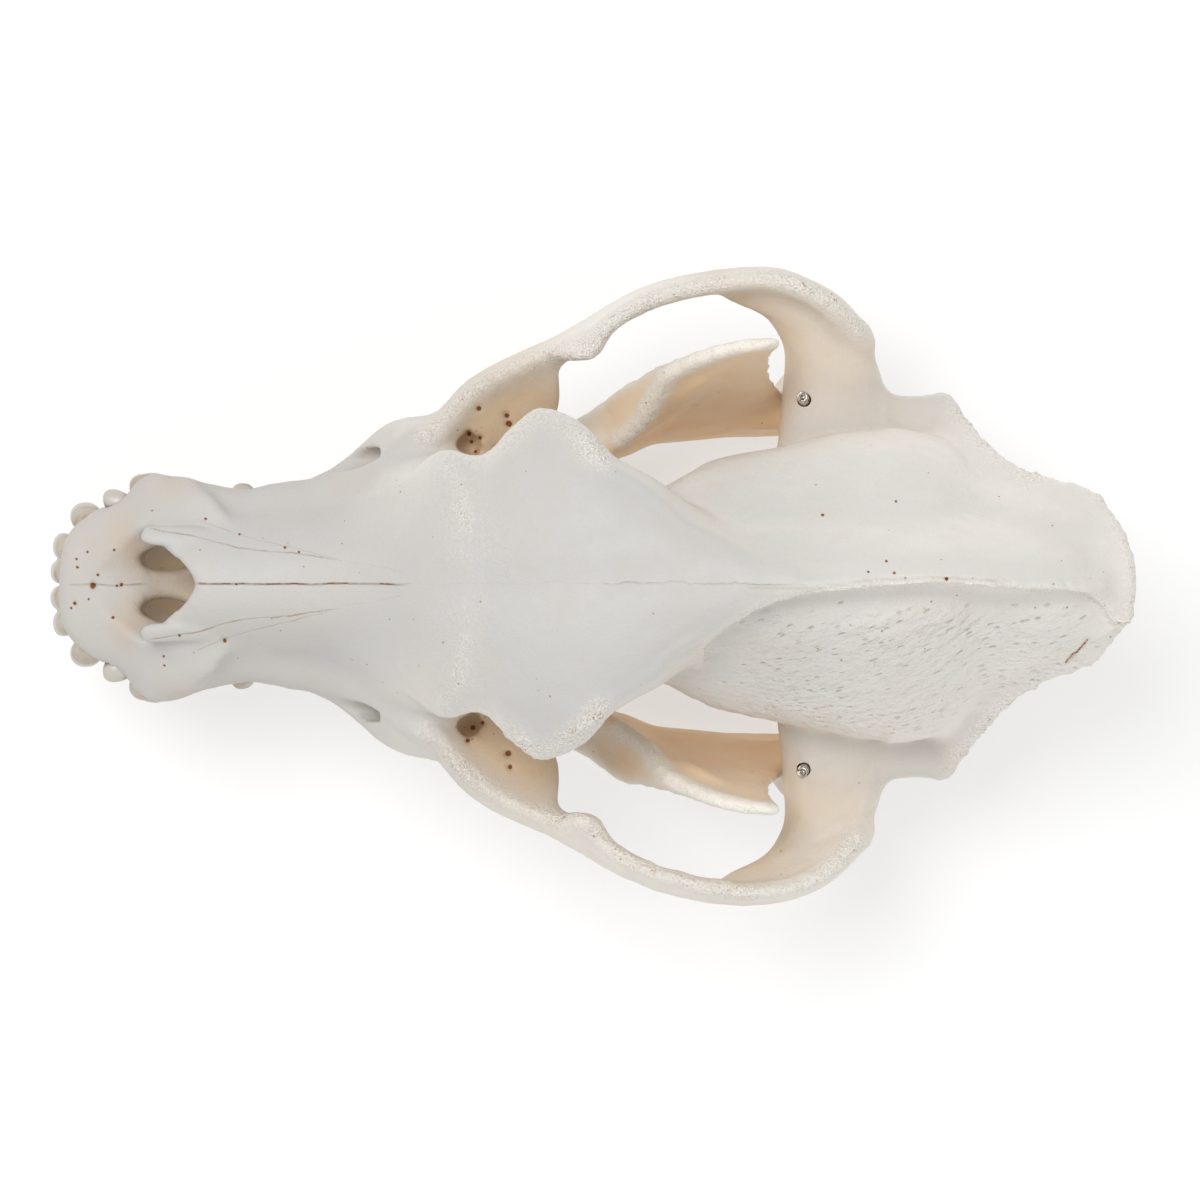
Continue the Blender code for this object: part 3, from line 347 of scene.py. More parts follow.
def mesh_object(name, piece):
    """Object at the origin whose mesh has these points and triangles."""
    points, faces = piece
    mesh = bpy.data.meshes.new(name)
    mesh.vertices.add(len(points))
    mesh.vertices.foreach_set("co", np.ascontiguousarray(points, np.float32).ravel())
    mesh.loops.add(faces.size)
    mesh.loops.foreach_set("vertex_index", np.ascontiguousarray(faces, np.int32).ravel())
    mesh.polygons.add(len(faces))
    mesh.polygons.foreach_set("loop_start", np.arange(0, faces.size, 3, dtype=np.int32))
    mesh.update(calc_edges=True)
    obj = bpy.data.objects.new(name, mesh)
    bpy.context.scene.collection.objects.link(obj)
    return obj


def piece_of(obj):
    """Points and triangles of an object's mesh; the object is removed."""
    mesh = obj.data
    mesh.calc_loop_triangles()
    points = np.empty(len(mesh.vertices) * 3, np.float32)
    mesh.vertices.foreach_get("co", points)
    faces = np.empty(len(mesh.loop_triangles) * 3, np.int32)
    mesh.loop_triangles.foreach_get("vertices", faces)
    bpy.data.objects.remove(obj)
    bpy.data.meshes.remove(mesh)
    return points.reshape(-1, 3).astype(float), faces.reshape(-1, 3)


def applied(obj):
    """Replaces the object's mesh by its evaluated one, and drops the modifiers."""
    bpy.context.view_layer.update()
    graph = bpy.context.evaluated_depsgraph_get()
    old = obj.data
    obj.data = bpy.data.meshes.new_from_object(obj.evaluated_get(graph))
    obj.modifiers.clear()
    bpy.data.meshes.remove(old)
    return obj


def fused(pieces, cell, keep=None):
    """Closed pieces that overlap, made one skin on a grid of cubic cells.

    Only the largest surface is kept, unless keep is "all".
    """
    obj = mesh_object("skin", joined(pieces))
    skin = obj.modifiers.new("skin", "REMESH")
    skin.mode = "VOXEL"
    skin.voxel_size = cell
    skin = piece_of(applied(obj))
    return skin if keep == "all" else largest(skin)


def combined(piece, others, operation):
    """The piece with the others cut from it, united with it or kept where they overlap it."""
    obj = mesh_object("body", piece)
    for other in others:
        tool = mesh_object("tool", other)
        change = obj.modifiers.new(operation.lower(), "BOOLEAN")
        change.operation = operation
        change.object = tool
        change.solver = "MANIFOLD"
        applied(obj)
        bpy.data.objects.remove(tool)
    return largest(piece_of(obj))


def sides_of(faces, count):
    """Every edge once, as pairs of points, and how many edges meet at each point."""
    ends = np.sort(np.concatenate([faces[:, [0, 1]], faces[:, [1, 2]], faces[:, [2, 0]]]), axis=1)
    edges = np.unique(ends[:, 0].astype(np.int64) * count + ends[:, 1])
    edges = np.stack([edges // count, edges % count], -1)
    return edges, np.bincount(edges.ravel(), minlength=count).astype(float)


def largest(piece):
    """The closed surface with the most volume.

    Each point takes the lowest number among its neighbours, and then the number that this number has taken,
    until nothing changes, so that all points of one surface end with one number.
    """
    points, faces = piece
    edges, _ = sides_of(faces, len(points))
    label = np.arange(len(points))
    while True:
        lower = label.copy()
        np.minimum.at(lower, edges[:, 0], label[edges[:, 1]])
        np.minimum.at(lower, edges[:, 1], label[edges[:, 0]])
        lower = lower[lower]
        if (lower == label).all():
            break
        label = lower
    corner = points[faces]
    volume = np.einsum("ij,ij->i", corner[:, 0], np.cross(corner[:, 1], corner[:, 2]))
    owner = label[faces[:, 0]]
    kept = owner == np.bincount(owner, volume).argmax()
    used, inverse = np.unique(faces[kept], return_inverse=True)
    return points[used], inverse.reshape(-1, 3)


def normals_of(points, faces):
    """Outward direction at each point: the mean of its triangles' normals, weighted by their area."""
    corner = points[faces]
    facing = np.cross(corner[:, 1] - corner[:, 0], corner[:, 2] - corner[:, 0])
    total = np.stack(
        [np.bincount(faces.ravel(), np.repeat(facing[:, axis], 3), len(points)) for axis in range(3)], -1
    )
    return total / np.maximum(np.linalg.norm(total, axis=1), 1e-12)[:, None]


def neighbour_mean(values, edges, degree):
    """Mean of each row over the points that an edge joins to a point."""
    total = np.zeros_like(values)
    for one, other in ((0, 1), (1, 0)):
        for axis in range(values.shape[1]):
            total[:, axis] += np.bincount(edges[:, one], values[edges[:, other], axis], len(values))
    return total / degree[:, None]


def settled(piece, fill, even):
    """Fills the creases where pieces meet, then smooths the skin without shrinking it.

    A filling round moves a point towards the mean of its neighbours, outwards at 0.6 of the way and never
    inwards, and along the skin at 0.3. An even round goes 0.5 of the way to the mean and 0.53 back.
    """
    points, faces = piece
    edges, degree = sides_of(faces, len(points))
    for _ in range(fill):
        outward = normals_of(points, faces)
        pull = neighbour_mean(points, edges, degree) - points
        rise = np.einsum("ij,ij->i", pull, outward)[:, None]
        points = points + 0.6 * outward * np.maximum(rise, 0) + 0.3 * (pull - outward * rise)
    for _ in range(even):
        points = points + 0.5 * (neighbour_mean(points, edges, degree) - points)
        points = points - 0.53 * (neighbour_mean(points, edges, degree) - points)
    return points, faces


# Patterns over a surface


def cloud(points, size, seed):
    """Smooth noise from -1 to 1: random numbers at the corners of cubes of a size, blended by a cubic."""
    lattice = 32
    corners = np.random.default_rng(seed).uniform(-1, 1, (lattice, lattice, lattice))
    place = points / size
    cell = np.floor(place).astype(int)
    share = place - cell
    share = share * share * (3 - 2 * share)
    total = np.zeros(len(points))
    for corner in np.ndindex(2, 2, 2):
        weight = np.where(np.array(corner) == 1, share, 1 - share).prod(1)
        i, j, k = ((cell + corner) % lattice).T
        total += weight * corners[i, j, k]
    return total


def near_path(points, path):
    """Distance of each point from a line through a few places, of two or three coordinates."""
    path = np.asarray(path, float)
    least = np.full(len(points), np.inf)
    for start, end in zip(path[:-1], path[1:]):
        along = end - start
        share = np.clip((points - start) @ along / (along @ along), 0, 1)
        least = np.minimum(least, np.linalg.norm(points - start - share[:, None] * along, axis=1))
    return least


def bump(distance, width):
    """1 on a line or place, falling as a bell to nearly 0 at twice the width."""
    return np.exp(-((distance / width) ** 2))


def step(values, low, high):
    """0 below low, 1 above high and smooth between."""
    share = np.clip((values - low) / (high - low), 0, 1)
    return share * share * (3 - 2 * share)


def placed(points):
    """Points with s in place of Y: x, s and z."""
    return points + (0, MIDDLE, 0)


def folded(place):
    """Places with the skull's two sides laid over each other: x without its sign, s and z."""
    return np.stack([np.abs(place[:, 0]), place[:, 1], place[:, 2]], -1)


def bell(place, x, s, z, radius, strength):
    """Strength at one place, falling as a bell of that radius round it."""
    return strength * bump(np.linalg.norm(place - (x, s, z), axis=1), radius)


# Cranium


def muzzle():
    """Jaw bone at the level of the sockets, the muzzle over it, and the swelling at each canine's root."""
    sockets = barrel(
        s=[2.9, 4.0, 6.2, 11.4, 16.4, 21.7, 27.5, 34.6, 43.7, 51.8, 57, 61.9, 66, 71, 77, 84, 92, 98, 103],
        top=[45.6, 46.8, 47.8, 48.9, 50.4, 55.4, 59, 58, 58, 58, 59, 60, 61, 62, 60, 57, 54, 51, 48],
        base=[39, 39, 39, 39.5, 40, 40.5, 41] + [41.5] * 9 + [42, 42.5, 43],
        w_top=[5.5, 7.4, 9.6, 12.4, 14, 18, 18.5, 16.5, 16, 17, 19, 22, 25, 28, 30, 29, 27, 22, 14],
        w_mid=[6.6, 8.8, 11.8, 15.4, 18.6, 23.2, 21.8, 19.6, 19.6, 21.2]
        + [23.8, 27, 30.6, 33.4, 34.6, 34, 32, 26, 15],
        w_base=[6, 8, 11, 14.6, 17.6, 21.4, 21, 19.6, 19.6, 21, 23, 26, 29.5, 32, 33, 33, 31, 25, 14],
        square=3.0,
        front=1.2,
        back=4,
        count=80,
    )
    nose = barrel(
        s=[8, 12, 16, 20.5, 27, 34, 45, 58, 68, 76, 84, 92],
        top=[48.8, 50.2, 52.6, 58.6, 66.6, 68.4, 69.4, 71.8, 76, 81.6, 87, 91],
        base=[42, 42, 42, 42, 42, 42, 42, 42, 42, 44, 52, 62],
        w_top=[11, 12.2, 12.4, 11.6, 10.4, 9.8, 9.8, 11.5, 15, 18.5, 20.5, 19],
        w_mid=[12.4, 14.8, 16.8, 17.6, 18, 17.4, 17, 19, 23.5, 27, 25, 21],
        w_base=[12, 14, 16.4, 19, 19.5, 18.5, 18, 20.5, 25, 29, 26, 22],
        square=2.9,
        droop=[0.5, 0.5, 0.5, 1, 2, 2.5, 2.5, 3, 3, 3, 3, 3],
        front=3,
    )
    swelling = rod(
        [(19.4, 20.5, 42), (18.8, 25, 50), (15.6, 31, 56.5), (11.2, 38, 61)],
        side=[3.4, 3.2, 2.4, 1.6],
        up=[4.5, 4.5, 3.6, 2.4],
        upward=(0, 1, 0.5),
        front=1,
        back=6,
    )
    return [sockets, nose] + both(swelling)


def brow():
    """Frontal bones out to the processes behind the eyes, and the waist between the orbits."""
    roof = barrel(
        s=[64, 72, 80.6, 87, 93, 98.9, 103.2, 107.5, 112, 120, 126, 131, 137, 142, 150],
        top=[69, 75, 84, 88.5, 92, 94.5, 95.6, 96.2, 96.6, 97, 97.2, 97.5, 98, 98.4, 98.6],
        base=[58, 62, 70, 74, 77, 78, 79, 80, 80, 78, 76, 74, 72, 72, 72],
        w_top=[15, 19, 24.5, 23.4, 28, 31.4, 30.6, 28.5, 22.6, 17.4, 12.2, 9, 6.4, 3.6, 1.8],
        w_mid=[17, 21, 25.8, 24, 29.2, 32.6, 31.4, 29, 24.5, 20, 16, 13, 10, 7.5, 4],
        w_base=[14, 17, 19, 17, 17, 18, 18, 17, 17, 16, 14, 13, 11, 9, 6],
        square=[3, 3, 3, 3.2, 3.6, 4, 4, 4, 3.5, 3, 3, 3, 2.6, 2.4, 2.4],
        droop=[2, 2.5, 3, 3.5, 5, 8, 7, 6, 3.5, 2, 1, 0.5, 0, 0, 0],
        count=100,
    )
    waist = barrel(
        s=[68, 76, 84, 92, 100, 110, 120],
        top=[70, 76, 82, 85, 86, 87, 87],
        base=[43, 43, 43, 43, 43, 42, 41],
        w_top=[18, 20, 19, 16.5, 15.5, 16, 18],
        w_mid=[24, 24, 19, 15.5, 14, 15, 18.5],
        w_base=[24, 22, 17, 13.5, 12, 12, 14.5],
        square=2.8,
    )
    return [roof, waist]


def brain_box():
    """Braincase, its floor, the occiput, and the crests along the top and round the back."""
    dome = barrel(
        s=[100, 108, 116, 122, 127.4, 132, 137, 145, 155, 165, 175, 184, 191, 195],
        top=[84, 87, 88.5, 89.5, 90, 90.5, 91, 91.5, 91.5, 91, 89, 84, 75, 66],
        base=[46, 44, 42, 40.5, 39, 37.5, 36, 34, 32.5, 32, 32, 33, 36, 42],
        w_top=[12, 13, 13, 12.5, 12.6, 13.5, 14.4, 15.8, 17, 17.5, 16.5, 14, 10, 7],
        w_mid=[13, 14.6, 16.4, 18.6, 21.6, 24, 25, 26.4, 29, 30, 28.5, 23, 16, 10],
        w_base=[11, 12, 13.6, 16, 19, 21.6, 22.4, 23.4, 25, 25.5, 24, 21, 16, 10],
        square=2.25,
        count=80,
    )
    floor = barrel(
        s=[104, 115, 130, 145, 160, 180, 195],
        top=[52, 50, 48, 45, 43, 44, 44],
        base=[45, 44, 41, 37.5, 34.5, 33.5, 34.5],
        w_top=[9, 9, 10, 12, 14, 14, 10],
        w_mid=[8, 8, 8.5, 10, 12, 13, 10],
        w_base=[7, 7, 7, 8, 9, 11, 9],
        back=3,
    )
    occiput = barrel(
        s=[168, 178, 186, 194, 201, 206],
        top=[86, 87, 87.5, 88, 87, 86],
        base=[36, 40, 50, 63, 73, 79],
        w_top=[8, 8, 8, 8.5, 8, 6],
        w_mid=[24, 22.5, 19.5, 16, 12, 8],
        w_base=[24, 21, 18, 14, 9, 6],
        square=2.4,
        back=3,
    )
    sagittal_crest = plate(
        [
            (0, 134, 97.8), (0.8, 146, 98.7), (0.1, 158, 99.1), (-0.7, 168, 98.9), (-0.8, 176, 98.4),
            (0.2, 186, 96.8), (0.5, 193, 95), (0.6, 202, 91.8), (0, 209.3, 88.2),
        ],
        [
            (0, 134, 82), (0, 146, 82), (0, 157, 82), (0, 167, 81), (0, 175, 80), (0, 184, 77),
            (0, 190, 76), (0, 197, 74), (0, 203, 76),
        ],
        [5, 3, 2.4, 2.2, 2.2, 2.4, 2.6, 3.4, 4.2],
        square=1.6,
        front=2,
        back=2,
    )
    nuchal_crest = plate(
        [
            (-1, 211, 88), (6.3, 210.4, 86.4), (12.2, 208.3, 83.5), (16.4, 206.2, 80), (19.2, 203.2, 77),
            (22.4, 194.4, 69), (25, 189.4, 64), (28.6, 185.4, 58.5), (33, 182, 52.5), (38.6, 179, 42),
        ],
        [
            (0, 196, 78), (4, 195, 77), (7, 194, 75), (9, 191, 72), (10, 188, 69), (12, 182, 62),
            (14, 178, 58), (17, 175, 53), (21, 172, 48), (30, 171, 38),
        ],
        [2.6, 2.2, 2, 1.8, 1.7, 1.7, 1.8, 2, 2.4, 2.6],
        back=2,
        count=80,
    )
    crest_flank = plate(
        [(-1, 142, 95.8), (-1, 160, 96.8), (-1.4, 175, 96), (-0.8, 190, 93.4), (-0.6, 202, 89.6)],
        [(-10.5, 138, 86), (-11, 160, 84.6), (-10.6, 175, 82.2), (-10, 188, 79.6), (-8, 200, 80)],
        [2.4, 2.6, 2.6, 2.6, 2.4],
        back=3,
    )
    return [dome, floor, occiput, sagittal_crest, crest_flank] + both(nuchal_crest)


def side_of_ear():
    """Root of the cheek arch with the jaw's socket, the shelf behind it, and the mastoid corner."""
    arch_root = plate(
        [
            (18, 142, 51), (24, 144.2, 48), (30, 145.2, 45.4), (38, 145.8, 44.6), (46, 146.4, 45),
            (51, 144.6, 46), (55, 140.6, 47.4), (58.4, 132, 49.6),
        ],
        [
            (18, 172, 50), (24, 170, 47), (30, 168.4, 45.4), (38, 166.2, 45), (45.6, 164, 45.6),
            (51.6, 160.8, 46.6), (56, 154, 48), (60, 142, 49.6),
        ],
        [8, 7, 6.4, 6.2, 5.6, 4.6, 3.8, 3],
        back=2,
    )
    shelf = plate(
        [(38, 160, 46), (37.4, 166, 46.5), (36.8, 171, 46.5), (37, 175, 46), (38, 179, 45)],
        [(22, 158, 46), (22, 165, 46), (22, 171, 46), (22, 175, 46), (24, 178, 45)],
        [4, 3.4, 3, 3, 3],
        front=2,
        back=1.5,
    )
    mastoid = egg((28.5, 175.5, 40), (8, 5, 8), turn=(0, 0, -20))
    behind_socket = egg((36.5, 158.6, 39), (8.5, 2.2, 6.5), turn=(10, 0, 8))
    return both(arch_root) + both(shelf) + both(mastoid) + both(behind_socket)


def underside():
    """Ear capsules, occipital condyles, the processes beside them, and the pterygoid plates."""
    bulla = egg((16.5, 165, 33), (8.5, 12.5, 9.2), turn=(0, 0, 12))
    condyle = egg((9.5, 192.5, 40), (6.2, 6.2, 9), turn=(-15, 20, -25))
    jugular_process = rod(
        [(20, 180, 43), (20.5, 183.5, 34), (20, 187, 25)],
        side=[4.5, 3.5, 1.8],
        up=[4.5, 3, 1.8],
        upward=(0, 1, 0),
        back=2,
    )
    pterygoid = stack(
        z=[34, 37, 42, 47],
        s_front=[140, 128, 103, 98],
        s_back=[146, 146, 144, 142],
        x_front=[7.5, 8, 9, 9],
        x_back=[8, 8, 8.5, 8.5],
        thick=[1.2, 1.4, 1.8, 2.2],
        front=1,
    )
    return both(bulla) + both(condyle) + both(jugular_process) + both(pterygoid)


def cheek():
    """Cheek arch, its process behind the eye, and the floor of the orbit."""
    arch = plate(
        [
            (17, 58, 56), (29, 76, 61), (36, 82.5, 60), (40.8, 89, 58.5), (44, 96, 58), (46, 102, 58.5),
            (47.6, 108, 60), (51.6, 113, 60.5), (55.7, 120, 60.5), (58.7, 129, 60.2), (60, 139, 60.2),
            (59.5, 147, 60), (56.5, 154, 58), (51, 159.6, 53.5), (46, 161.6, 50),
        ],
        [
            (19, 58, 43), (31.5, 75, 42.5), (36.8, 82, 42), (41.5, 88.5, 42), (45.2, 95.5, 42.7),
            (48.2, 102, 44), (51.5, 108, 45.6), (55, 114, 46.6), (58.6, 121, 47.3), (61.3, 130, 47.3),
            (62, 140, 46.2), (60.4, 149, 44.5), (56.4, 156, 43.2), (50.5, 160.6, 42.8), (46, 161.6, 43),
        ],
        [3, 4.2, 3.8, 3.2, 2.6, 2.2, 2.3, 2.2, 2.1, 2.1, 2.1, 2.3, 2.6, 3, 3],
        square=2.8,
        count=110,
        sides=28,
    )
    process = plate(
        [(45.6, 99.5, 57), (45, 103.6, 61.6), (44.8, 107.2, 62.6), (47.4, 110.8, 61.2)],
        [(45.5, 100.5, 50), (46.8, 104.5, 50), (48.4, 108, 50), (50, 111, 50)],
        [1.6, 2, 2.2, 2],
        front=1.5,
        back=1.5,
    )
    orbit_floor = plate(
        [(28, 77, 58), (35, 84, 56.5), (40, 90.5, 54.5), (43.5, 96.5, 54), (45.4, 101.6, 54)],
        [(14, 80, 50), (18, 89, 48.5), (22.6, 95, 47.5), (29, 99.6, 47.2), (36.8, 102, 48.4)],
        [3.5, 3.2, 2.8, 2.4, 2],
        back=1.5,
    )
    molar_block = stack(
        z=[41.5, 45, 49, 51],
        s_front=[76, 76, 78, 80],
        s_back=[99.5, 100, 99.5, 97],
        x_front=[27, 28, 29, 30],
        x_back=[29, 32, 36, 37],
        thick=[5, 6, 5.5, 3.5],
        back=1.5,
    )
    return both(arch) + both(process) + both(orbit_floor) + both(molar_block)


def tooth_roots():
    """Low swellings of the bone over the roots of the upper cheek teeth."""
    found = []
    for s, x, up, width in UPPER_ROOTS:
        top = (x - 2.8, s + 0.4, UPPER_GUM + up)
        path = [(x - 2.2, s, UPPER_GUM - 1), (x - 1.6, s, UPPER_GUM + 4), top]
        across, along = [width, width * 0.95, width * 0.6], [width, width * 0.9, width * 0.6]
        found += both(rod(path, across, along, upward=(0, 1, 0), front=1, back=3))
    return found


# s and x of each root of the upper cheek teeth, how far it shows above the gum and its half width
UPPER_ROOTS = [
    (39.2, 18.7, 7, 1.9),
    (44.6, 18.9, 9, 1.9),
    (49.4, 19.7, 9, 1.9),
    (55.4, 20.9, 10, 2.1),
    (61.6, 22.7, 10, 2.1),
    (68.4, 26.0, 11, 2.6),
    (80.6, 30.0, 11, 2.8),
    (87.4, 31.0, 6, 2.3),
]


def openings():
    """What is hollow in the cranium: nose, palate, throat, brain and ear openings, and the small foramina."""
    nostril = barrel(
        s=[5, 8, 12, 16, 20, 24, 32, 50, 62],
        top=[60, 62, 64, 66, 66, 64, 65.2, 65.4, 62],
        base=[49.4, 48.9, 49.0, 49.0, 48.4, 47.2, 46.6, 47.5, 50],
        w_top=[7, 9.6, 12, 12.4, 11, 9, 7.4, 6.5, 5],
        w_mid=[6, 8.6, 11, 11.6, 11.2, 10.8, 9.8, 8.5, 6],
        w_base=[3, 5.6, 8.4, 9.2, 8.4, 7.4, 7, 6.5, 5],
        square=2.2,
        back=4,
    )
    nasal_notch = stack([58, 84], s_front=4, s_back=32, x_front=0, x_back=0, thick=8.8, square=1.6)
    eye_pocket = egg((*EYE_CORNER, 56), (3, 2.6, 3.6), turn=(0, 0, -30))
    palatine_fissure = stack([34, 49], s_front=19.6, s_back=31, x_front=4.8, x_back=6.2, thick=2.7, square=2)
    throat = barrel(
        s=[96, 104, 120, 140],
        top=[44.6, 44.8, 43.5, 40.5],
        base=30,
        w_top=[4.5, 6.3, 6.2, 5],
        w_mid=[5, 6.4, 6.3, 5.5],
        w_base=[5, 6.5, 6.5, 6],
        square=3,
        front=3,
    )
    foramen_magnum = rod(
        [(0, 206, 47), (0, 191, 48.5), (0, 176, 51)], side=[9.5, 9, 8], up=[8, 7.8, 7], back=6
    )
    ear = egg((30.5, 168.5, 39), (9, 3.4, 3.6))
    infraorbital = rod(
        [(26, 52, 53), (25.2, 61, 53.6), (25, 74, 55)],
        side=[2.6, 2.2, 2.2],
        up=[4, 3.6, 3.2],
        square=2,
        back=2,
    )
    tear_duct = rod([(22, 86, 66), (20.5, 80, 65)], side=[2, 1.6], up=[3, 2.4], square=2, back=2)
    orbital_fissure = egg((12, 126, 52), (5, 3, 3))
    found = [nostril, nasal_notch, throat, foramen_magnum]
    for paired in (palatine_fissure, ear, infraorbital, tear_duct, orbital_fissure, eye_pocket):
        found += both(paired)
    return found


# x, z, half width and lean in degrees of each scroll of thin bone in the nose
SCROLLS = [(4.4, 58, 2.6, 12), (5.6, 53, 3.2, -8), (3.6, 49.5, 2.2, 4), (7.6, 57.5, 2.0, 40)]


def inside_nose():
    """Septum in the middle of the nose, the scrolls of thin bone beside it and the nasal bones' tips."""
    septum = plate(
        [(0, 34, 50), (0, 40, 57), (0, 48, 60), (0, 58, 60)],
        [(0, 33, 45), (0, 38, 45), (0, 48, 46), (0, 58, 48)],
        0.7,
        front=2,
    )
    tip = rod(
        [(9.2, 37, 61.8), (9.2, 32, 62.7), (9.3, 27, 63.1), (9.5, 23.6, 62.8), (9.8, 21.2, 62)],
        side=[1.6, 2.4, 2.4, 2.2, 1.5],
        up=[0.9, 1.1, 1.2, 1.2, 0.9],
        upward=(0.62, 0, 0.78),
        square=2.3,
        front=4,
        back=1.4,
    )
    found = [septum] + both(tip)
    for x, z, width, turn in SCROLLS:
        lean = math.radians(turn)
        across = width * np.array([math.cos(lean), 0, math.sin(lean)])
        path = np.array([(x, 33, z), (x * 0.98, 42, z), (x * 0.9, 56, z)])
        found += both(plate(path + across, path - across, 0.55, front=3))
    return found


def cheek_block():
    """Block that holds the cheek bone of the left side, between its seams with the face and the braincase.

    Its back face leans: s of that face falls as z rises, so that the process of the braincase lies over the
    cheek bone.
    """
    levels = [(30, 141), (45, 140.5), (66.6, 109.3), (76, 95.7)]
    front_face = [(34.2, 106.1), (47.8, 83.9), (75, 83.9)]
    grid = []
    for z, back in levels:
        back_face = [(75, back), (49, back), (43, 0.5 * back + 54)]
        grid.append([(x, s, z) for x, s in front_face + back_face])
    return closed_tube(np.array(grid, float) - (0, MIDDLE, 0))


def cranium_skin(coarse, fine):
    """Whole cranium on the fine grid, its pieces grown together on the coarse one first."""
    pieces = muzzle() + brow() + brain_box() + side_of_ear() + underside() + cheek() + tooth_roots()
    whole = fused(pieces, coarse)
    hollow = fused(openings(), fine, keep="all")
    whole = combined(whole, [hollow], "DIFFERENCE")
    whole = settled(fused([whole], coarse), fill=14, even=4)
    whole = combined(whole, [hollow], "DIFFERENCE")
    whole = fused([whole] + inside_nose(), fine)
    whole = settled(whole, fill=3, even=3)
    socket = egg(CONDYLE, np.array(CONDYLE_HALF) + JOINT_SPACE, CONDYLE_TURN, count=24, sides=32)
    cuts = []
    for paired in (socket, canine_groove(), spring_bore()):
        cuts += both(paired)
    return combined(whole, cuts, "DIFFERENCE")


# s, half width of the cranium, and how far it is drawn in there on the animal's right and on its left
SIDES = [
    (10, 17, 0, 0),
    (19, 22.5, 1.6, 0.6),
    (22, 22.5, 1.3, 0),
    (25.5, 22, 1, -0.5),
    (30, 20, 0.1, -0.6),
    (34, 20, 0.1, -0.7),
    (37.5, 20, 0.7, 0),
    (41, 20.5, 1, 0.6),
    (45, 20.5, 0, 0.1),
    (49, 21, 0, 0),
    (53, 22, 0.9, 0.7),
    (57, 24, 1.2, 1),
    (61, 27, 0.8, 0.6),
    (68, 32, 0.6, 0.45),
    (72.3, 33, 1, 0.4),
    (74.3, 34, 2, 1.1),
    (76.3, 35, 3.2, 2.3),
    (78.2, 36.5, 3.9, 3.4),
    (80.2, 38.5, 3.4, 2.5),
    (82.2, 40, 2.5, 1.6),
    (84.1, 41.5, 2, 1.1),
    (88, 44, 1.7, 0.5),
    (92, 46, 1.35, 0.1),
    (96, 48, 1, -0.2),
    (100, 50, 0.7, -0.5),
    (104, 51, 0.3, -1),
    (111, 54, 0.25, -0.9),
    (115, 56, 0.3, -0.5),
    (120, 58, 0.7, 0),
    (131, 62, 1.35, 0.5),
    (143, 62.5, 1.1, 0.5),
    (151, 60.5, 1.6, 0.8),
    (157, 57, 1.8, 1.1),
    (161, 52, 2, 1.2),
    (166, 38, -0.5, -1.4),
    (177, 38, -0.7, -1.4),
    (181, 30, 0.5, 0.2),
    (186, 26.5, 0.6, 0.4),
    (190, 24, 0.8, 1.2),
    (193, 22, 0.9, 2),
    (197, 20, 1, 2.7),
    (203, 18, 0.9, 3.1),
    (208, 14, 0.6, 2.8),
    (211, 8, 0.5, 1),
]


def uneven(piece):
    """Piece drawn in or out across the skull, since its two sides are not alike.

    Each point moves across by the amount for its s and side, from none at 0.55 of the half width to all of it
    at the edge. What lies over the orbits stays where it is.
    """
    points, faces = piece
    place = placed(points)
    s, *columns = np.array(SIDES, float).T
    half_width, right, left = (np.interp(place[:, 1], s, column) for column in columns)
    drawn_in = np.where(place[:, 0] < 0, right, left)
    share = step(np.abs(place[:, 0]) / half_width, 0.55, 0.97)
    share *= 1 - step(place[:, 2], 62, 74) * (1 - step(place[:, 1], 112, 150))
    return points - (np.sign(place[:, 0]) * drawn_in * share)[:, None] * (1, 0, 0), faces


def canine_groove():
    """Groove that the lower canine lies in, a little wider than the tooth."""
    room = 0.6
    return rod(
        LOWER_CANINE[2:],
        np.array(LOWER_CANINE_SIDE[2:]) + room,
        np.array(LOWER_CANINE_UP[2:]) + room,
        upward=(0, 1, 0),
        back=1,
        sides=32,
    )


def spring_bore():
    """Hole that a spring runs in, from over the jaw's socket down into the condyle."""
    x, s = SPRING_AT
    low = SPRING_LOW[2] - 0.3
    return rod([(x, s, 70), (x, s, low)], BORE, BORE, upward=(0, 1, 0), square=2, count=3, sides=24)


# Lines of rough bone, as x, s and z on the animal's left; the right side has the same
BROW_EDGE = [(24.5, 86), (28, 92), (32.5, 97), (32, 101), (28.5, 105.5), (24, 110)]
ORBIT_RIM = [(29, 76, 61), (36, 82.5, 60), (40.8, 89, 58.5), (44, 96, 58), (46, 102, 58.5)]
ARCH_FRONT = [(45, 100, 58), (44.8, 107, 62), (50.8, 113, 60.5), (55, 120, 60.5)]
ARCH_BACK = [(56.4, 125, 60), (58, 129, 60), (60, 139, 60), (59.5, 147, 60), (56.5, 154, 58), (51, 160, 53)]
NUCHAL_EDGE = [
    (0, 210.5, 88.5), (6.3, 210.4, 86.4), (12.2, 208.3, 83.5), (16.4, 206.2, 80), (19.2, 203.2, 77),
    (21.4, 194.4, 69), (24.4, 189.4, 64), (28.6, 185.4, 58.5), (33, 182, 52.5), (38.6, 179, 42),
]
TEMPORAL_LINE = [
    (27.9, 106.8), (22, 112.2), (17.4, 119.7), (11.6, 125.5), (8.8, 131.1), (6.4, 136.3), (3.6, 141.2),
    (1.7, 145.8),
]
# Band of rough bone across the forehead, between the orbits' front ends
FRONTAL_BAND = [(24, 80, 77.6), (21, 82, 81), (16, 83.5, 84), (11, 84.5, 86), (4, 86.5, 87.6)]
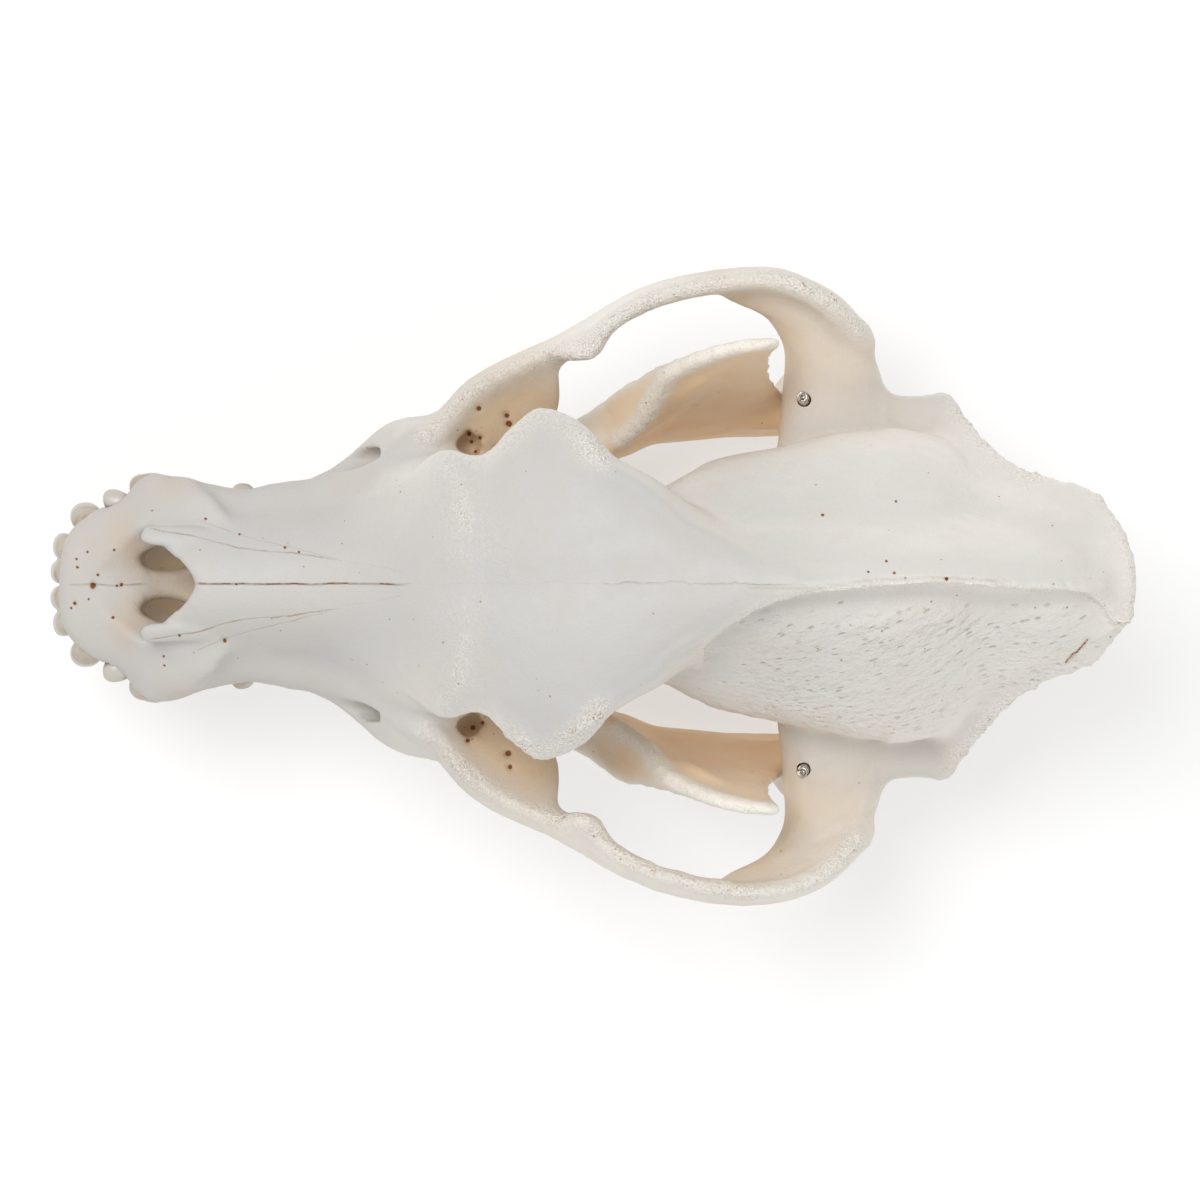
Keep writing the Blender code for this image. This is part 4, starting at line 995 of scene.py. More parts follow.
# Line, half width and strength of the roughness along it
ROUGH_LINES = [
    (BROW_EDGE, 2.6, 0.9),
    (ORBIT_RIM, 2.2, 0.9),
    (ARCH_FRONT, 2.6, 1.25),
    (ARCH_BACK, 2.4, 1.1),
    (NUCHAL_EDGE[:5], 2.4, 0.5),
    (NUCHAL_EDGE[5:], 3.0, 1.1),
    (FRONTAL_BAND[:4], 2.6, 0.6),
    (FRONTAL_BAND, 8.0, 0.26),
]

# x, s and radius of pinholes in the bone, seen from above
PINHOLES = [
    (0.2, 10.3, 0.62), (-3.4, 7.1, 0.26), (-5.0, 7.0, 0.24), (-6.4, 9.2, 0.22), (-6.8, 14.7, 0.28),
    (6.5, 14.4, 0.3), (-1.9, 11.3, 0.24), (2.9, 9.5, 0.22), (3.7, 6.6, 0.34), (4.6, 5.9, 0.24),
    (0.3, 15.0, 0.24), (0.0, 15.9, 0.36), (-14.4, 22.5, 0.18), (9.9, 28.6, 0.26), (10.9, 37.2, 0.4),
    (14, 25, 0.22), (15.8, 25, 0.22), (-12.7, 33.4, 0.26), (-9.7, 40.2, 0.22), (-7.1, 49.2, 0.28),
    (-6.2, 52.0, 0.22), (0.0, 40.0, 0.2), (-33.0, 91.8, 0.5), (-31.4, 92.2, 0.6), (-34.2, 86.4, 0.46),
    (-26.6, 89.8, 0.36), (-29.4, 84.4, 0.44), (-27.9, 84.8, 0.36), (-28.6, 86.6, 0.34), (-26.0, 85.6, 0.36),
    (28.0, 85.0, 0.5), (33.0, 92.0, 0.6), (35.6, 92.4, 0.46), (30.4, 84.2, 0.4), (27.0, 87.0, 0.34),
    (-0.9, 174.6, 0.34), (-2.0, 164.8, 0.26), (-2.2, 160.0, 0.2), (-4.2, 163.4, 0.22), (-13.0, 152.0, 0.26),
    (-15.6, 166.0, 0.22),
    *[(14.9 - 0.24 * i, 198.9 + 0.16 * i, 0.13) for i in range(9)],
    *[(13.1 - 0.27 * i, 200.5 + 0.2 * i, 0.12 + 0.02 * (i % 4)) for i in range(10)],
]

# x, s, z, radius and strength of the places painted warm: partly bone that stayed less bleached, partly
# painted shade in hollows and under the cheek arches
WARM_PLACES = [
    (30, 90, 55, 9, 0.85),
    (36, 98, 50, 8.5, 0.8),
    (53, 137, 50, 9, 0.6),
    (26.5, 86, 56, 5, 0.7),
    (42, 146, 50, 8, 0.42),
    (52, 147, 50, 8, 0.25),
    (36, 140, 46, 7, 0.5),
    (6, 20, 46, 5, 0.7),
    (7.5, 25, 45, 4, 0.8),
    (0, 30, 48, 7, 0.6),
    (9.5, 18, 50, 4, 0.4),
    (19, 28, 52, 5, 0.3),
    (20, 118, 50, 9, 0.4),
    (44, 158, 48, 7, 0.3),
    (30, 162, 49, 9, 0.15),
]


# x, s, z, radius and strength of the places with many small stained holes
POROUS_PLACES = [
    (28, 86.5, 56, 4.5, 1.0),
    (4, 8, 48, 6, 0.12),
    (18, 83.5, 83, 4, 0.2),
    (1.5, 150, 97, 9, 0.1),
    (1.5, 172, 97, 12, 0.1),
    (2, 196, 92, 7, 0.2),
]


def roughness_at(place):
    """How rough the bone is, from 0 to 1.3: highest on edges where muscle and sheath were fixed."""
    side = folded(place)
    rough = np.zeros(len(place))
    for line, width, strength in ROUGH_LINES:
        share = bump(near_path(side[:, : len(line[0])], line), width)
        if len(line[0]) == 2:
            share = share * step(side[:, 2], 70, 76)
        rough = np.maximum(rough, strength * share)
    rough = np.maximum(rough, 0.5 * bump(near_path(place[:, :2], LEDGE), 1.0) * (place[:, 2] > 84))
    return np.clip(rough * (0.75 + 0.5 * cloud(place, 6.0, 3)), 0, 1.3)


WIDE_PINHOLE = 0.33  # radius from which a pinhole is a dent as well as a spot


def pinhole_depth(place, up):
    """Depth of the wider pinholes where the bone faces up: a bell 1.3 times as wide as each one's radius."""
    depth = np.zeros(len(place))
    for x, s, radius in PINHOLES:
        if radius > WIDE_PINHOLE:
            depth += bump(np.hypot(place[:, 0] - x, place[:, 1] - s), radius * 1.3)
    return 0.7 * depth * (place[:, 2] > 44) * (up > 0)


def weathered(piece, roughening):
    """Moves each point of the cranium in or out by the sum of its bumps and dimples.

    The sum holds wide and narrow waves, streaks in the left fossa, the ridges of the temporal lines and of
    the orbit's rim, the ledge under the crest, the bead on the nuchal crest, slits, a trough down the
    forehead, crumbs where the bone is rough, and pinholes.
    """
    points, faces = piece
    place = placed(points)
    outward = normals_of(points, faces)
    up = outward[:, 2]
    side = folded(place)
    half, plan = side[:, 0], side[:, :2]
    temple = step(place[:, 1], 108, 128) * step(half, 2, 5) * (place[:, 2] > 50)
    rise = 0.12 * cloud(place, 7.0, 1) + 0.06 * cloud(place, 2.6, 2)
    rise += temple * (0.25 * cloud(place, 11.0, 4) + 0.08 * cloud(place, 3.2, 5))
    fossa = temple * step(place[:, 0], 2, 6)
    streaks = place @ np.array([(0.8, -0.25, 0), (0.6, 0.33, 0), (0, 0, 1)])
    rise += fossa * (0.22 * cloud(streaks, 3.0, 10) + 0.14 * cloud(streaks, 1.6, 11))
    rise += 0.4 * bump(near_path(plan, TEMPORAL_LINE), 1.3) * (up > 0.2) * (place[:, 2] > 80)
    rise += 0.35 * bump(near_path(side, ORBIT_RIM), 1.2)
    rise -= ledge_depth(place) * step(up, -0.1, 0.3)
    rise += 0.5 * bump(near_path(side, NUCHAL_EDGE[:6]), 2.0)
    for path, width, depth in CREVICES:
        rise -= depth * bump(near_path(place[:, :2], path), width) * (up > 0)
    forehead = step(place[:, 1], 70, 84) * (1 - step(place[:, 1], 108, 122)) * step(up, 0.5, 0.9)
    rise -= 0.9 * bump(half, 4.5) * forehead
    rough = roughness_at(place)
    crumbs = np.maximum(cloud(place, 1.25, 6), -0.4) + 0.6 * cloud(place, 0.8, 7)
    rise += roughening * rough * crumbs * 1.8
    rise -= pinhole_depth(place, up)
    return points + outward * rise[:, None], faces


# Slits in the bone's upper side, as x and s, with their half width and depth
CREVICES = [
    ([(14.9, 199), (13.2, 200.3), (12, 201.4), (10.5, 202.4)], 0.5, 0.5),
    ([(0.9, 138), (1.0, 150), (-0.6, 160), (-1.2, 172), (-0.6, 184)], 0.45, 0.3),
]

# Edge that overhangs the fossa beside the crest on the animal's left, as x and s
LEDGE = [
    (11.4, 130), (7.5, 134.2), (4.4, 138.9), (2.7, 143.6), (1.5, 149.5), (0.9, 155), (0.4, 160.3),
    (-0.2, 166.9), (-0.4, 173.8), (0, 180.8), (0.5, 185.5), (0.9, 190), (0.8, 196), (1.7, 202),
    (4.2, 205.4), (7.2, 207),
]


def ledge_depth(place):
    """Hollow beside the ledge: deepest 1.3 mm from it on the animal's left, and nearly gone at 7 mm."""
    line = np.array(LEDGE)
    across = place[:, 0] - np.interp(place[:, 1], line[:, 1], line[:, 0])
    beyond = (across > 0) & (place[:, 2] > 70) & (place[:, 1] > 130)
    distance = near_path(place[:, :2], LEDGE)
    return 1.7 * step(distance, 0.1, 1.3) * bump(distance, 4.0) * beyond


def bone_marks(place, outward):
    """Shares from 0 to 1 that the bone's colour and bumps follow.

    They are rough, pitted (the left temporal fossa), porous (small stained holes), warm (partly bone that
    stayed less bleached, partly painted shade where the bone faces down, lies low or is hollow), pale
    (lighter towards the back and on the cheeks, and painted light on steep sides, which get less light) and
    slit (the crevices, and painted shade at the deep inner corner of each orbit).
    """
    up = outward[:, 2]
    low = 1 - step(place[:, 2], 46, 72)
    under = 1 - step(up, -0.5, 0.25)
    side = folded(place)
    # Painted shade: surfaces that face down or lie low are warmer and darker; partly bone that stayed less
    # bleached
    warm = 0.28 * under + 0.1 * low
    porous = np.zeros(len(place))
    for spot in WARM_PLACES:
        warm = warm + bell(side, *spot)
    for spot in POROUS_PLACES:
        porous = np.maximum(porous, bell(side, *spot))
    warm = warm + 0.06 * cloud(place, 14.0, 8)
    fossa = step(place[:, 1], 128, 146) * (1 - step(place[:, 1], 196, 206)) * step(place[:, 2], 58, 70)
    pitted = fossa * step(place[:, 0], 2, 6)
    pitted = pitted * np.clip(0.75 + 0.6 * cloud(place, 9.0, 9), 0, 1)
    slit = np.zeros(len(place))
    for path, width, depth in CREVICES:
        slit = np.maximum(slit, depth * bump(near_path(place[:, :2], path), width * 0.8) * (up > 0))
    # Painted shade: brown at the deep inner corner of each orbit, where shade falls, partly stain
    corner = np.hypot(side[:, 0] - EYE_CORNER[0], side[:, 1] - EYE_CORNER[1])
    slit = np.maximum(slit, 0.5 * bump(corner, 2.0) * (place[:, 2] < 72))
    pale = step(place[:, 1], 124, 172) * step(place[:, 2], 40, 60)
    pale = 0.36 * np.maximum(pale, 1.2 * step(place[:, 1], 70, 100) * step(side[:, 0], 36, 44))
    # Painted light: steep sides and sides that face down, behind the muzzle, are paler to make up for the
    # light they lack
    pale += 0.6 * (1 - step(up, 0.25, 0.85)) * step(place[:, 1], 56, 74)
    return {
        "rough": roughness_at(place),
        "warm": warm,
        "pitted": pitted,
        "porous": np.maximum(porous, 0.02),
        "pale": pale,
        "slit": slit,
    }


# Lower jaw


def jaw_bone():
    """One half of the lower jaw: body, ramus with its front edge, condyle and angular process."""
    body = plate(
        [
            (2.6, 6.6, 27), (4.6, 10.5, 28), (8.6, 19, 28), (11.6, 30, 26.8), (14.4, 42, 26.5),
            (17.6, 54, 27), (21, 66, 27.3), (24.4, 80, 27.6), (26.6, 94, 28), (27.8, 106, 29),
            (30, 118, 34),
        ],
        [
            (2.6, 9.5, 20), (3, 17, 14), (5.4, 26, 9.5), (10.6, 36, 6), (14.4, 47, 3.4), (18.2, 59, 1.4),
            (22, 72, 0),
            (25, 86, -CUT_OFF),
            (27.4, 98, -CUT_OFF),
            (29.4, 110, 0.8), (31.5, 122, 3.4),
        ],
        [3.6, 5, 6, 5, 4.3, 4.3, 4.7, 5.1, 4.8, 4.1, 3.2],
        front=2,
        back=6,
        count=80,
        sides=32,
    )
    ramus = stack(
        z=[3, 8, 12, 20, 28, 36, 44, 52, 60, 66, 70, 72],
        s_front=[120, 115, 112, 109.6, 110, 113, 116.5, 119, 123, 127.5, 132.5, 137.5],
        s_back=[146, 150, 152, 153, 152.5, 149, 145.5, 143.6, 143.4, 144.4, 145.2, 144],
        x_front=[31, 30.8, 30.4, 30.4, 31.8, 34.8, 36.5, 38, 40.2, 42.2, 43.8, 44.8],
        x_back=[33.5, 34, 34.5, 34.8, 35.2, 36.3, 38.5, 41, 43.4, 45, 46, 46],
        thick=[2, 2.4, 2.6, 2.6, 2.4, 2.1, 1.9, 1.7, 1.6, 1.5, 1.4, 1.2],
        square=2.8,
        back=1.5,
        count=80,
        sides=56,
    )
    crest = [
        (27.2, 102, 25), (26.6, 108.6, 31), (28.7, 114.4, 38), (31.8, 118.4, 46), (36, 121, 53.6),
        (39.8, 123.6, 60), (43.4, 131.6, 68.4), (45.6, 140, 71.2),
    ]
    lip = [
        (29, 103, 25), (32, 108, 29), (35.4, 112, 36), (38.2, 116, 44.6), (39.8, 119.8, 52),
        (41.4, 124, 59), (43.8, 131.6, 67), (45.6, 140, 70.8),
    ]
    inner_crest = rod(
        crest,
        side=[3.4, 2.4, 1.9, 1.7, 1.7, 1.7, 1.6, 1.5],
        up=[3.4, 2.4, 1.9, 1.7, 1.7, 1.6, 1.5, 1.3],
        upward=(0, 1, 0.3),
        back=1,
        count=70,
    )
    outer_lip = rod(
        lip,
        side=[3.4, 2.6, 2, 1.7, 1.5, 1.5, 1.4, 1.3],
        up=[3.4, 2.6, 2, 1.7, 1.5, 1.5, 1.4, 1.3],
        upward=(0, 1, 0.3),
        back=1,
        count=70,
    )
    between = plate(lip, crest, [2.6, 1.6, 1.3, 1.2, 1.2, 1.2, 1.2, 1.1], back=1, count=70)
    web = plate(
        [(30, 110, 26), (31.6, 115, 34), (34.8, 120, 44), (38.6, 125, 56), (42.4, 132, 64), (44.6, 139, 68)],
        [(31, 118, 26), (33, 122, 34), (35.8, 127, 44), (39, 131, 56), (42.6, 137, 62), (44.8, 142, 66)],
        [2.4, 2.2, 2, 1.8, 1.5, 1.3],
        count=60,
    )
    condyle = egg(CONDYLE, CONDYLE_HALF, CONDYLE_TURN)
    neck = rod([(34.5, 139, 24), (35.5, 146, 30), (37, 150.5, 34)], side=[3.2, 4.6, 8], up=[8, 5, 3], back=2)
    angular_process = rod(
        [(33, 138, 9.6), (33.5, 147, 6.2), (33.5, 153, 3.6), (33, 158.4, 3.4)],
        side=[2.8, 3, 2.8, 1.8],
        up=[8, 6, 4.4, 2.4],
        back=3,
    )
    return [body, ramus, inner_crest, outer_lip, between, web, condyle, neck, angular_process]


# x, s and z of the two holes near the chin, the half widths of each, and the strength and width of its dent
CHIN_HOLES = [((16, 30, 15), (3.4, 1.9, 1.5), 1.0, 1.3), ((17.2, 41, 14), (3, 1.2, 1), 0.7, 1.0)]


def jaw_hollows():
    """The hollow for the chewing muscle outside the ramus, and the small foramina near the chin."""
    muscle = egg((42.5, 132, 32), (6.6, 14, 19), turn=(0, 14, 0))
    return [muscle] + [egg(centre, half) for centre, half, _, _ in CHIN_HOLES]


def jaw_skin(coarse, fine):
    """Left half of the lower jaw on the fine grid."""
    whole = combined(fused(jaw_bone(), coarse), jaw_hollows(), "DIFFERENCE")
    whole = settled(fused([whole], coarse), fill=10, even=4)
    whole = settled(fused([whole], fine), fill=2, even=3)
    below_floor = block((-30, -20, -30), (80, 240, 0))
    past_middle = block((-40, -20, -10), (0.1, 80, 90))
    return combined(whole, [below_floor, past_middle, spring_bore()], "DIFFERENCE")


# Front and top edge of the coronoid process, as x, s and z
CORONOID_FRONT = [(28.7, 114.4, 38), (31.8, 118.4, 46), (36, 121, 53.6), (39.8, 123.6, 60)]
CORONOID_TOP = [(39.8, 123.6, 60), (43.4, 132, 69.4), (45.6, 140, 72), (45.6, 145, 68)]
# Edges of the lower jaw that are rough, with half width and strength
JAW_ROUGH = [
    ([(2, 8, 24), (2, 18, 15), (3, 27, 11)], 3.0, 0.7),
    (CORONOID_FRONT, 2.0, 0.7),
    (CORONOID_TOP, 1.8, 0.5),
    ([(29, 150, 36), (45, 152, 36)], 3.5, 0.5),
    ([(33.5, 153, 2), (33, 159, 3)], 3.0, 0.9),
    ([(31, 120, 2), (33, 140, 4)], 2.5, 0.5),
]


def weathered_jaw(piece, roughening):
    """Moves each point of a half jaw in or out by waves, crumbs on its rough edges, scratches and dents."""
    points, faces = piece
    place = placed(points)
    outward = normals_of(points, faces)
    rough = jaw_roughness(place)
    rise = 0.12 * cloud(place, 7.0, 21) + 0.05 * cloud(place, 2.4, 22)
    rise += 0.06 * cloud(place * (1, 0.35, 1), 1.8, 23) * step(place[:, 1], 100, 112)
    rise += roughening * rough * 1.5 * (cloud(place, 1.25, 24) + 0.6 * cloud(place, 0.8, 25))
    rise -= jaw_dents(place, outward)
    rise *= step(place[:, 2], 0.2, 1.5)
    return points + outward * rise[:, None] - jaw_lean(place), faces


def jaw_dents(place, outward):
    """Depth of the chewing muscle's hollow outside the ramus, and of the two holes near the chin.

    Both count where the bone faces outwards. The hollow is a product of smooth steps in s and z, and each
    hole is a bell round its place.
    """
    outer = step(outward[:, 0] * np.sign(place[:, 0]), 0.2, 0.7)
    s, z = place[:, 1], place[:, 2]
    muscle = step(s - 0.25 * z, 107, 112) * (1 - step(s, 136, 147)) * step(z, 10, 17) * (1 - step(z, 40, 58))
    holes = sum(
        strength * bump(np.hypot(s - at[1], z - at[2]), width) for at, _, strength, width in CHIN_HOLES
    )
    return outer * (1.3 * muscle + 0.9 * holes)


def jaw_lean(place):
    """How far the top of each coronoid process leans towards the animal's right: more on its left side."""
    lean = np.where(place[:, 0] > 0, 2.1, 1.2) * step(place[:, 2], 38, 62) * step(place[:, 1], 106, 118)
    return lean[:, None] * (1, 0, 0)


def jaw_roughness(place):
    """How rough the lower jaw is at each point, from 0 to 1."""
    side = folded(place)
    rough = np.zeros(len(place))
    for line, width, strength in JAW_ROUGH:
        rough = np.maximum(rough, strength * bump(near_path(side, line), width))
    return rough


def jaw_marks(place, outward):
    """Rough, warm, pale and porous shares at each point of the lower jaw."""
    place = place + jaw_lean(place)
    side = folded(place)
    inner = 1 - step(outward[:, 0] * np.sign(place[:, 0]), -0.6, 0.4)
    deep = inner * (1 - step(side[:, 0], 30, 46)) * step(place[:, 1], 105, 120)
    front, top = bump(near_path(side, CORONOID_FRONT), 2.4), bump(near_path(side, CORONOID_TOP), 2.2)
    crest = step(np.maximum(front, top), 0.2, 0.7)
    # Painted light and shade: the inner faces and the deep part behind the teeth lie in shade and take the
    # brighter, warmer jaw colour; partly bone that stayed less bleached
    warm = np.clip(0.45 * inner + 0.5 * deep + 0.12 * cloud(place, 12.0, 26), 0, 1) * (1 - 0.9 * crest)
    rough = np.clip(jaw_roughness(place), 0, 1)
    return {"rough": rough, "warm": warm, "pale": 0.8 * crest, "porous": np.full(len(place), 0.05)}


# Teeth


def crown(s, x, half_width, gum, height, cusps, root=6.0, count=40, sides=36):
    """Cheek tooth: lens-shaped sections across the jaw, whose height follows the cusps along it.

    A section's half width is that of a lens, its height is the share that the cusps give at that place, and
    the part below the gum narrows into the root. cusps are (place from 0 to 1, share of the height); the
    height is negative on an upper tooth.
    """
    at, share = np.array(cusps, float).T
    place = (1 - np.cos(np.linspace(0, math.pi, count))) / 2
    share = 0.6 * np.interp(place, at, share) + 0.4 * through(at, share, place)
    up = math.copysign(1, height)
    across, rise = squared(sides, 1.75)
    centre = (x[0] + (x[1] - x[0]) * place)[:, None]
    body = half_width * np.sqrt(np.clip(1 - np.abs(2 * place - 1) ** 2.6, 0.0016, 1))[:, None]
    tall = np.where(rise > 0, (abs(height) * share)[:, None] * rise, root * rise)
    belly = 1 + 0.12 * np.exp(-(((tall - 1.4) / 1.6) ** 2))
    xs = centre + body * belly * across
    ys = np.broadcast_to((s[0] + (s[1] - s[0]) * place)[:, None] - MIDDLE, xs.shape)
    return closed_tube(np.stack([xs, ys, gum + up * tall], -1))


def cusp(foot, tip, half_width, half_length):
    """Cone from a foot inside the tooth to its tip, both as x, s and z, rounded at the tip."""
    foot, tip = np.array(foot, float), np.array(tip, float)
    path = [foot, foot + 0.45 * (tip - foot), foot + 0.8 * (tip - foot), tip]
    shape = np.array([1, 0.86, 0.52, 0.16])
    return rod(path, half_width * shape, half_length * shape, upward=(0, 1, 0), square=2, back=0.6, count=16)


# Height of a cheek tooth at places along it, as a share of its greatest
PREMOLAR = [(0, 0.2), (0.14, 0.34), (0.3, 0.7), (0.45, 1), (0.6, 0.66), (0.72, 0.42), (0.82, 0.5), (1, 0.2)]
UPPER_CARNASSIAL = [
    (0, 0.2), (0.12, 0.42), (0.24, 0.62), (0.4, 1), (0.5, 0.72), (0.58, 0.5), (0.78, 0.7), (1, 0.25),
]
LOWER_CARNASSIAL = [
    (0, 0.2), (0.18, 0.68), (0.32, 0.5), (0.48, 1), (0.6, 0.6), (0.67, 0.4), (0.83, 0.5), (0.92, 0.4),
    (1, 0.2),
]
TWO_CUSPS = [(0, 0.3), (0.26, 1), (0.5, 0.6), (0.74, 0.9), (1, 0.3)]
ONE_CUSP = [(0, 0.35), (0.4, 1), (1, 0.4)]

# s of front and back, x there, half width, height and cusps of each cheek tooth
UPPER_ROW = [
    ((37, 41.6), (18.6, 18.8), 2.1, -5.2, ONE_CUSP),
    ((42.4, 51.8), (16.9, 18.3), 2.3, -7.6, PREMOLAR),
    ((52.8, 64.4), (19, 22.6), 2.6, -9.2, PREMOLAR),
    ((64.8, 84.6), (24.6, 31.4), 3.7, -12.4, UPPER_CARNASSIAL),
    ((84.6, 95.6), (31, 30.4), 3.1, -6.8, TWO_CUSPS),
    ((86, 94.6), (25.8, 25.6), 4.2, -3.8, ONE_CUSP),
    ((95.4, 101.8), (28.4, 27), 2.7, -4.6, TWO_CUSPS),
    ((96, 101.4), (24, 23.6), 3.0, -3.2, ONE_CUSP),
]
LOWER_ROW = [
    ((35.4, 39.6), (13.2, 14.2), 1.9, 4.2, ONE_CUSP),
    ((40.8, 49.8), (14.6, 16.4), 2.2, 6.6, PREMOLAR),
    ((50.2, 59.8), (16.8, 19.3), 2.4, 7.2, PREMOLAR),
    ((60.2, 71.4), (19.7, 22.8), 2.7, 8.6, PREMOLAR),
    ((71.8, 93.8), (23.2, 26.6), 3.5, 12.6, LOWER_CARNASSIAL),
    ((94.0, 102.0), (26.8, 27.1), 3.0, 5.6, TWO_CUSPS),
    ((102.2, 106.6), (27.2, 27.4), 2.2, 3.8, ONE_CUSP),
]


LOWER_CANINE = [(9.6, 27, 16), (10.8, 22, 24), (13.4, 17.6, 32), (16.4, 14.9, 40), (17.8, 14.2, 45.8)]
LOWER_CANINE_SIDE = [2.2, 3, 2.9, 2.7, 1.9]
LOWER_CANINE_UP = [3, 4, 3.7, 3.2, 2.3]

# Three incisors and the canine of the left side: path from deep in the socket to the tip as x, s and z, and
# at each of its places half the width across and half the width along the skull
UPPER_FRONT = [
    (
        [(2.2, 8.4, 44), (2.4, 5.0, 41), (2.6, 2.6, 35), (2.7, 1.7, 31.5)],
        [1.8, 2.2, 2.4, 1.7],
        [1.8, 2.4, 2.2, 1.0],
    ),
    (
        [(6.2, 9.6, 44), (7, 5.8, 41), (7.6, 3.1, 35), (7.8, 2.3, 31)],
        [1.9, 2.5, 2.7, 1.7],
        [1.9, 2.5, 2.2, 1.0],
    ),
    (
        [(10.4, 12.6, 45), (12.2, 9.6, 41), (13.7, 7.4, 35), (14.1, 7.4, 29.4)],
        [2, 2.7, 2.7, 1.0],
        [2.1, 3.3, 3.1, 1.0],
    ),
    (
        [(17.6, 30, 54), (19.4, 23.4, 45), (20.6, 20.4, 38), (21.5, 20.4, 30), (21.7, 23.4, 21)],
        [2.6, 3.1, 3.0, 2.3, 0.7],
        [3.4, 4.3, 4.0, 2.9, 0.8],
    ),
]
LOWER_FRONT = [
    ([(1.9, 12, 20), (2, 8.6, 27), (2.1, 6.8, 33.4)], [1.2, 1.5, 1], [1.6, 1.8, 0.8]),
    ([(4.2, 12.6, 20), (4.9, 9, 27), (5.3, 7.2, 33.6)], [1.3, 1.7, 1.1], [1.7, 1.9, 0.8]),
    ([(6.6, 14, 20), (8, 10.6, 27), (9, 9.4, 33.6)], [1.4, 1.9, 1], [1.8, 2.1, 0.9]),
    (LOWER_CANINE, LOWER_CANINE_SIDE, LOWER_CANINE_UP),
]

# Foot and tip as x, s and z, half width and half length of the side lobes of the incisors, and then of the
# cusps on the tongue side of the carnassials and molars
UPPER_CUSPS = [
    ((2.0, 4.4, 40), (0.9, 2.5, 35.6), 1.2, 1.2),
    ((3.0, 4.4, 40), (4.3, 2.6, 35.4), 1.2, 1.2),
    ((6.8, 5.2, 40), (5.8, 3.6, 35.4), 1.2, 1.2),
    ((8.0, 5.6, 40), (9.4, 4.2, 35.2), 1.2, 1.2),
    ((11.4, 9.6, 41), (11.0, 8.4, 35.2), 1.3, 1.4),
    ((27, 70, 43), (23.4, 68.4, 37.4), 2.4, 2.4),
    ((26, 89, 42), (24.6, 88.6, 37.0), 2.2, 2.2),
    ((24, 98, 42), (22.8, 97.8, 37.8), 1.6, 1.6),
]
LOWER_CUSPS = [
    ((5.2, 9.4, 28), (6.6, 8.2, 32), 1, 1),
    ((8.4, 10.8, 28), (10.2, 10, 31.6), 1.1, 1.1),
    ((24.6, 86, 28), (22.8, 85.4, 34.6), 1.7, 1.7),
    ((26.4, 89.6, 28), (24.8, 90, 33.0), 1.7, 1.7),
    ((26, 97, 27), (24.8, 97, 31.4), 1.5, 1.6),
]


def front_tooth(path, side, up, tip=1.2):
    """Incisor or canine: an oval section that tapers along a path from deep in the socket to the tip."""
    return rod(path, side, up, upward=(0, 1, 0), square=2.2, back=tip, count=44, sides=36)


def tooth_pieces(row, gum, front, cusps):
    """Pieces of the left side's teeth: cheek teeth, front teeth, and their lobes and inner cusps."""
    cheek_teeth = [crown(s, x, width, gum, height, tips) for s, x, width, height, tips in row]
    return cheek_teeth + [front_tooth(*shape) for shape in front] + [cusp(*shape) for shape in cusps]


def tooth_set(pieces, cell):
    """Teeth of one side grown together on a fine grid, and their mirror image.

    The teeth stay apart from each other, so every closed surface of the skin is kept.
    """
    one_side = settled(fused(pieces, cell, keep="all"), fill=3, even=2)
    return joined([one_side, mirrored(one_side)])


def chipped(piece):
    """Moves each point of the teeth by slow waves and by fine lines that run up the crown."""
    points, faces = piece
    place = placed(points)
    rise = 0.06 * cloud(place, 3.0, 31) + 0.03 * cloud(place * (1, 1, 0.25), 0.9, 32)
    return points + normals_of(points, faces) * rise[:, None], faces


def tooth_marks(place, gum, direction):
    """Share of tooth neck at each point: 1 at the gum, 0 from 2.6 mm up the crown."""
    above = (place[:, 2] - gum) * direction
    neck = 1 - step(above + 0.6 * cloud(place, 4.0, 33), -0.5, 2.6)
    return {"neck": neck, "stain": 0.5 * neck * np.clip(cloud(place, 2.0, 34), 0, 1)}


def gum_line(place, front, back):
    """Height of the gum, which changes smoothly past the canine from front to back."""
    return front + (back - front) * step(place[:, 1], 22, 34)


def upper_tooth_marks(place, _):
    """The upper gum line lies lower at the incisors and canines than at the cheek teeth."""
    return tooth_marks(place, gum_line(place, UPPER_FRONT_GUM, UPPER_GUM), -1)


def lower_tooth_marks(place, _):
    """The lower gum line falls from the canine to the cheek teeth."""
    return tooth_marks(place, gum_line(place, LOWER_FRONT_GUM, LOWER_GUM), 1)


# Springs


SPRING_ROOM = 0.03  # between a spring and the sides of its box in the frame
SPRING_TOP = 1.6  # height of the box that is left to the closing turns
RINGS_PER_TURN = 24


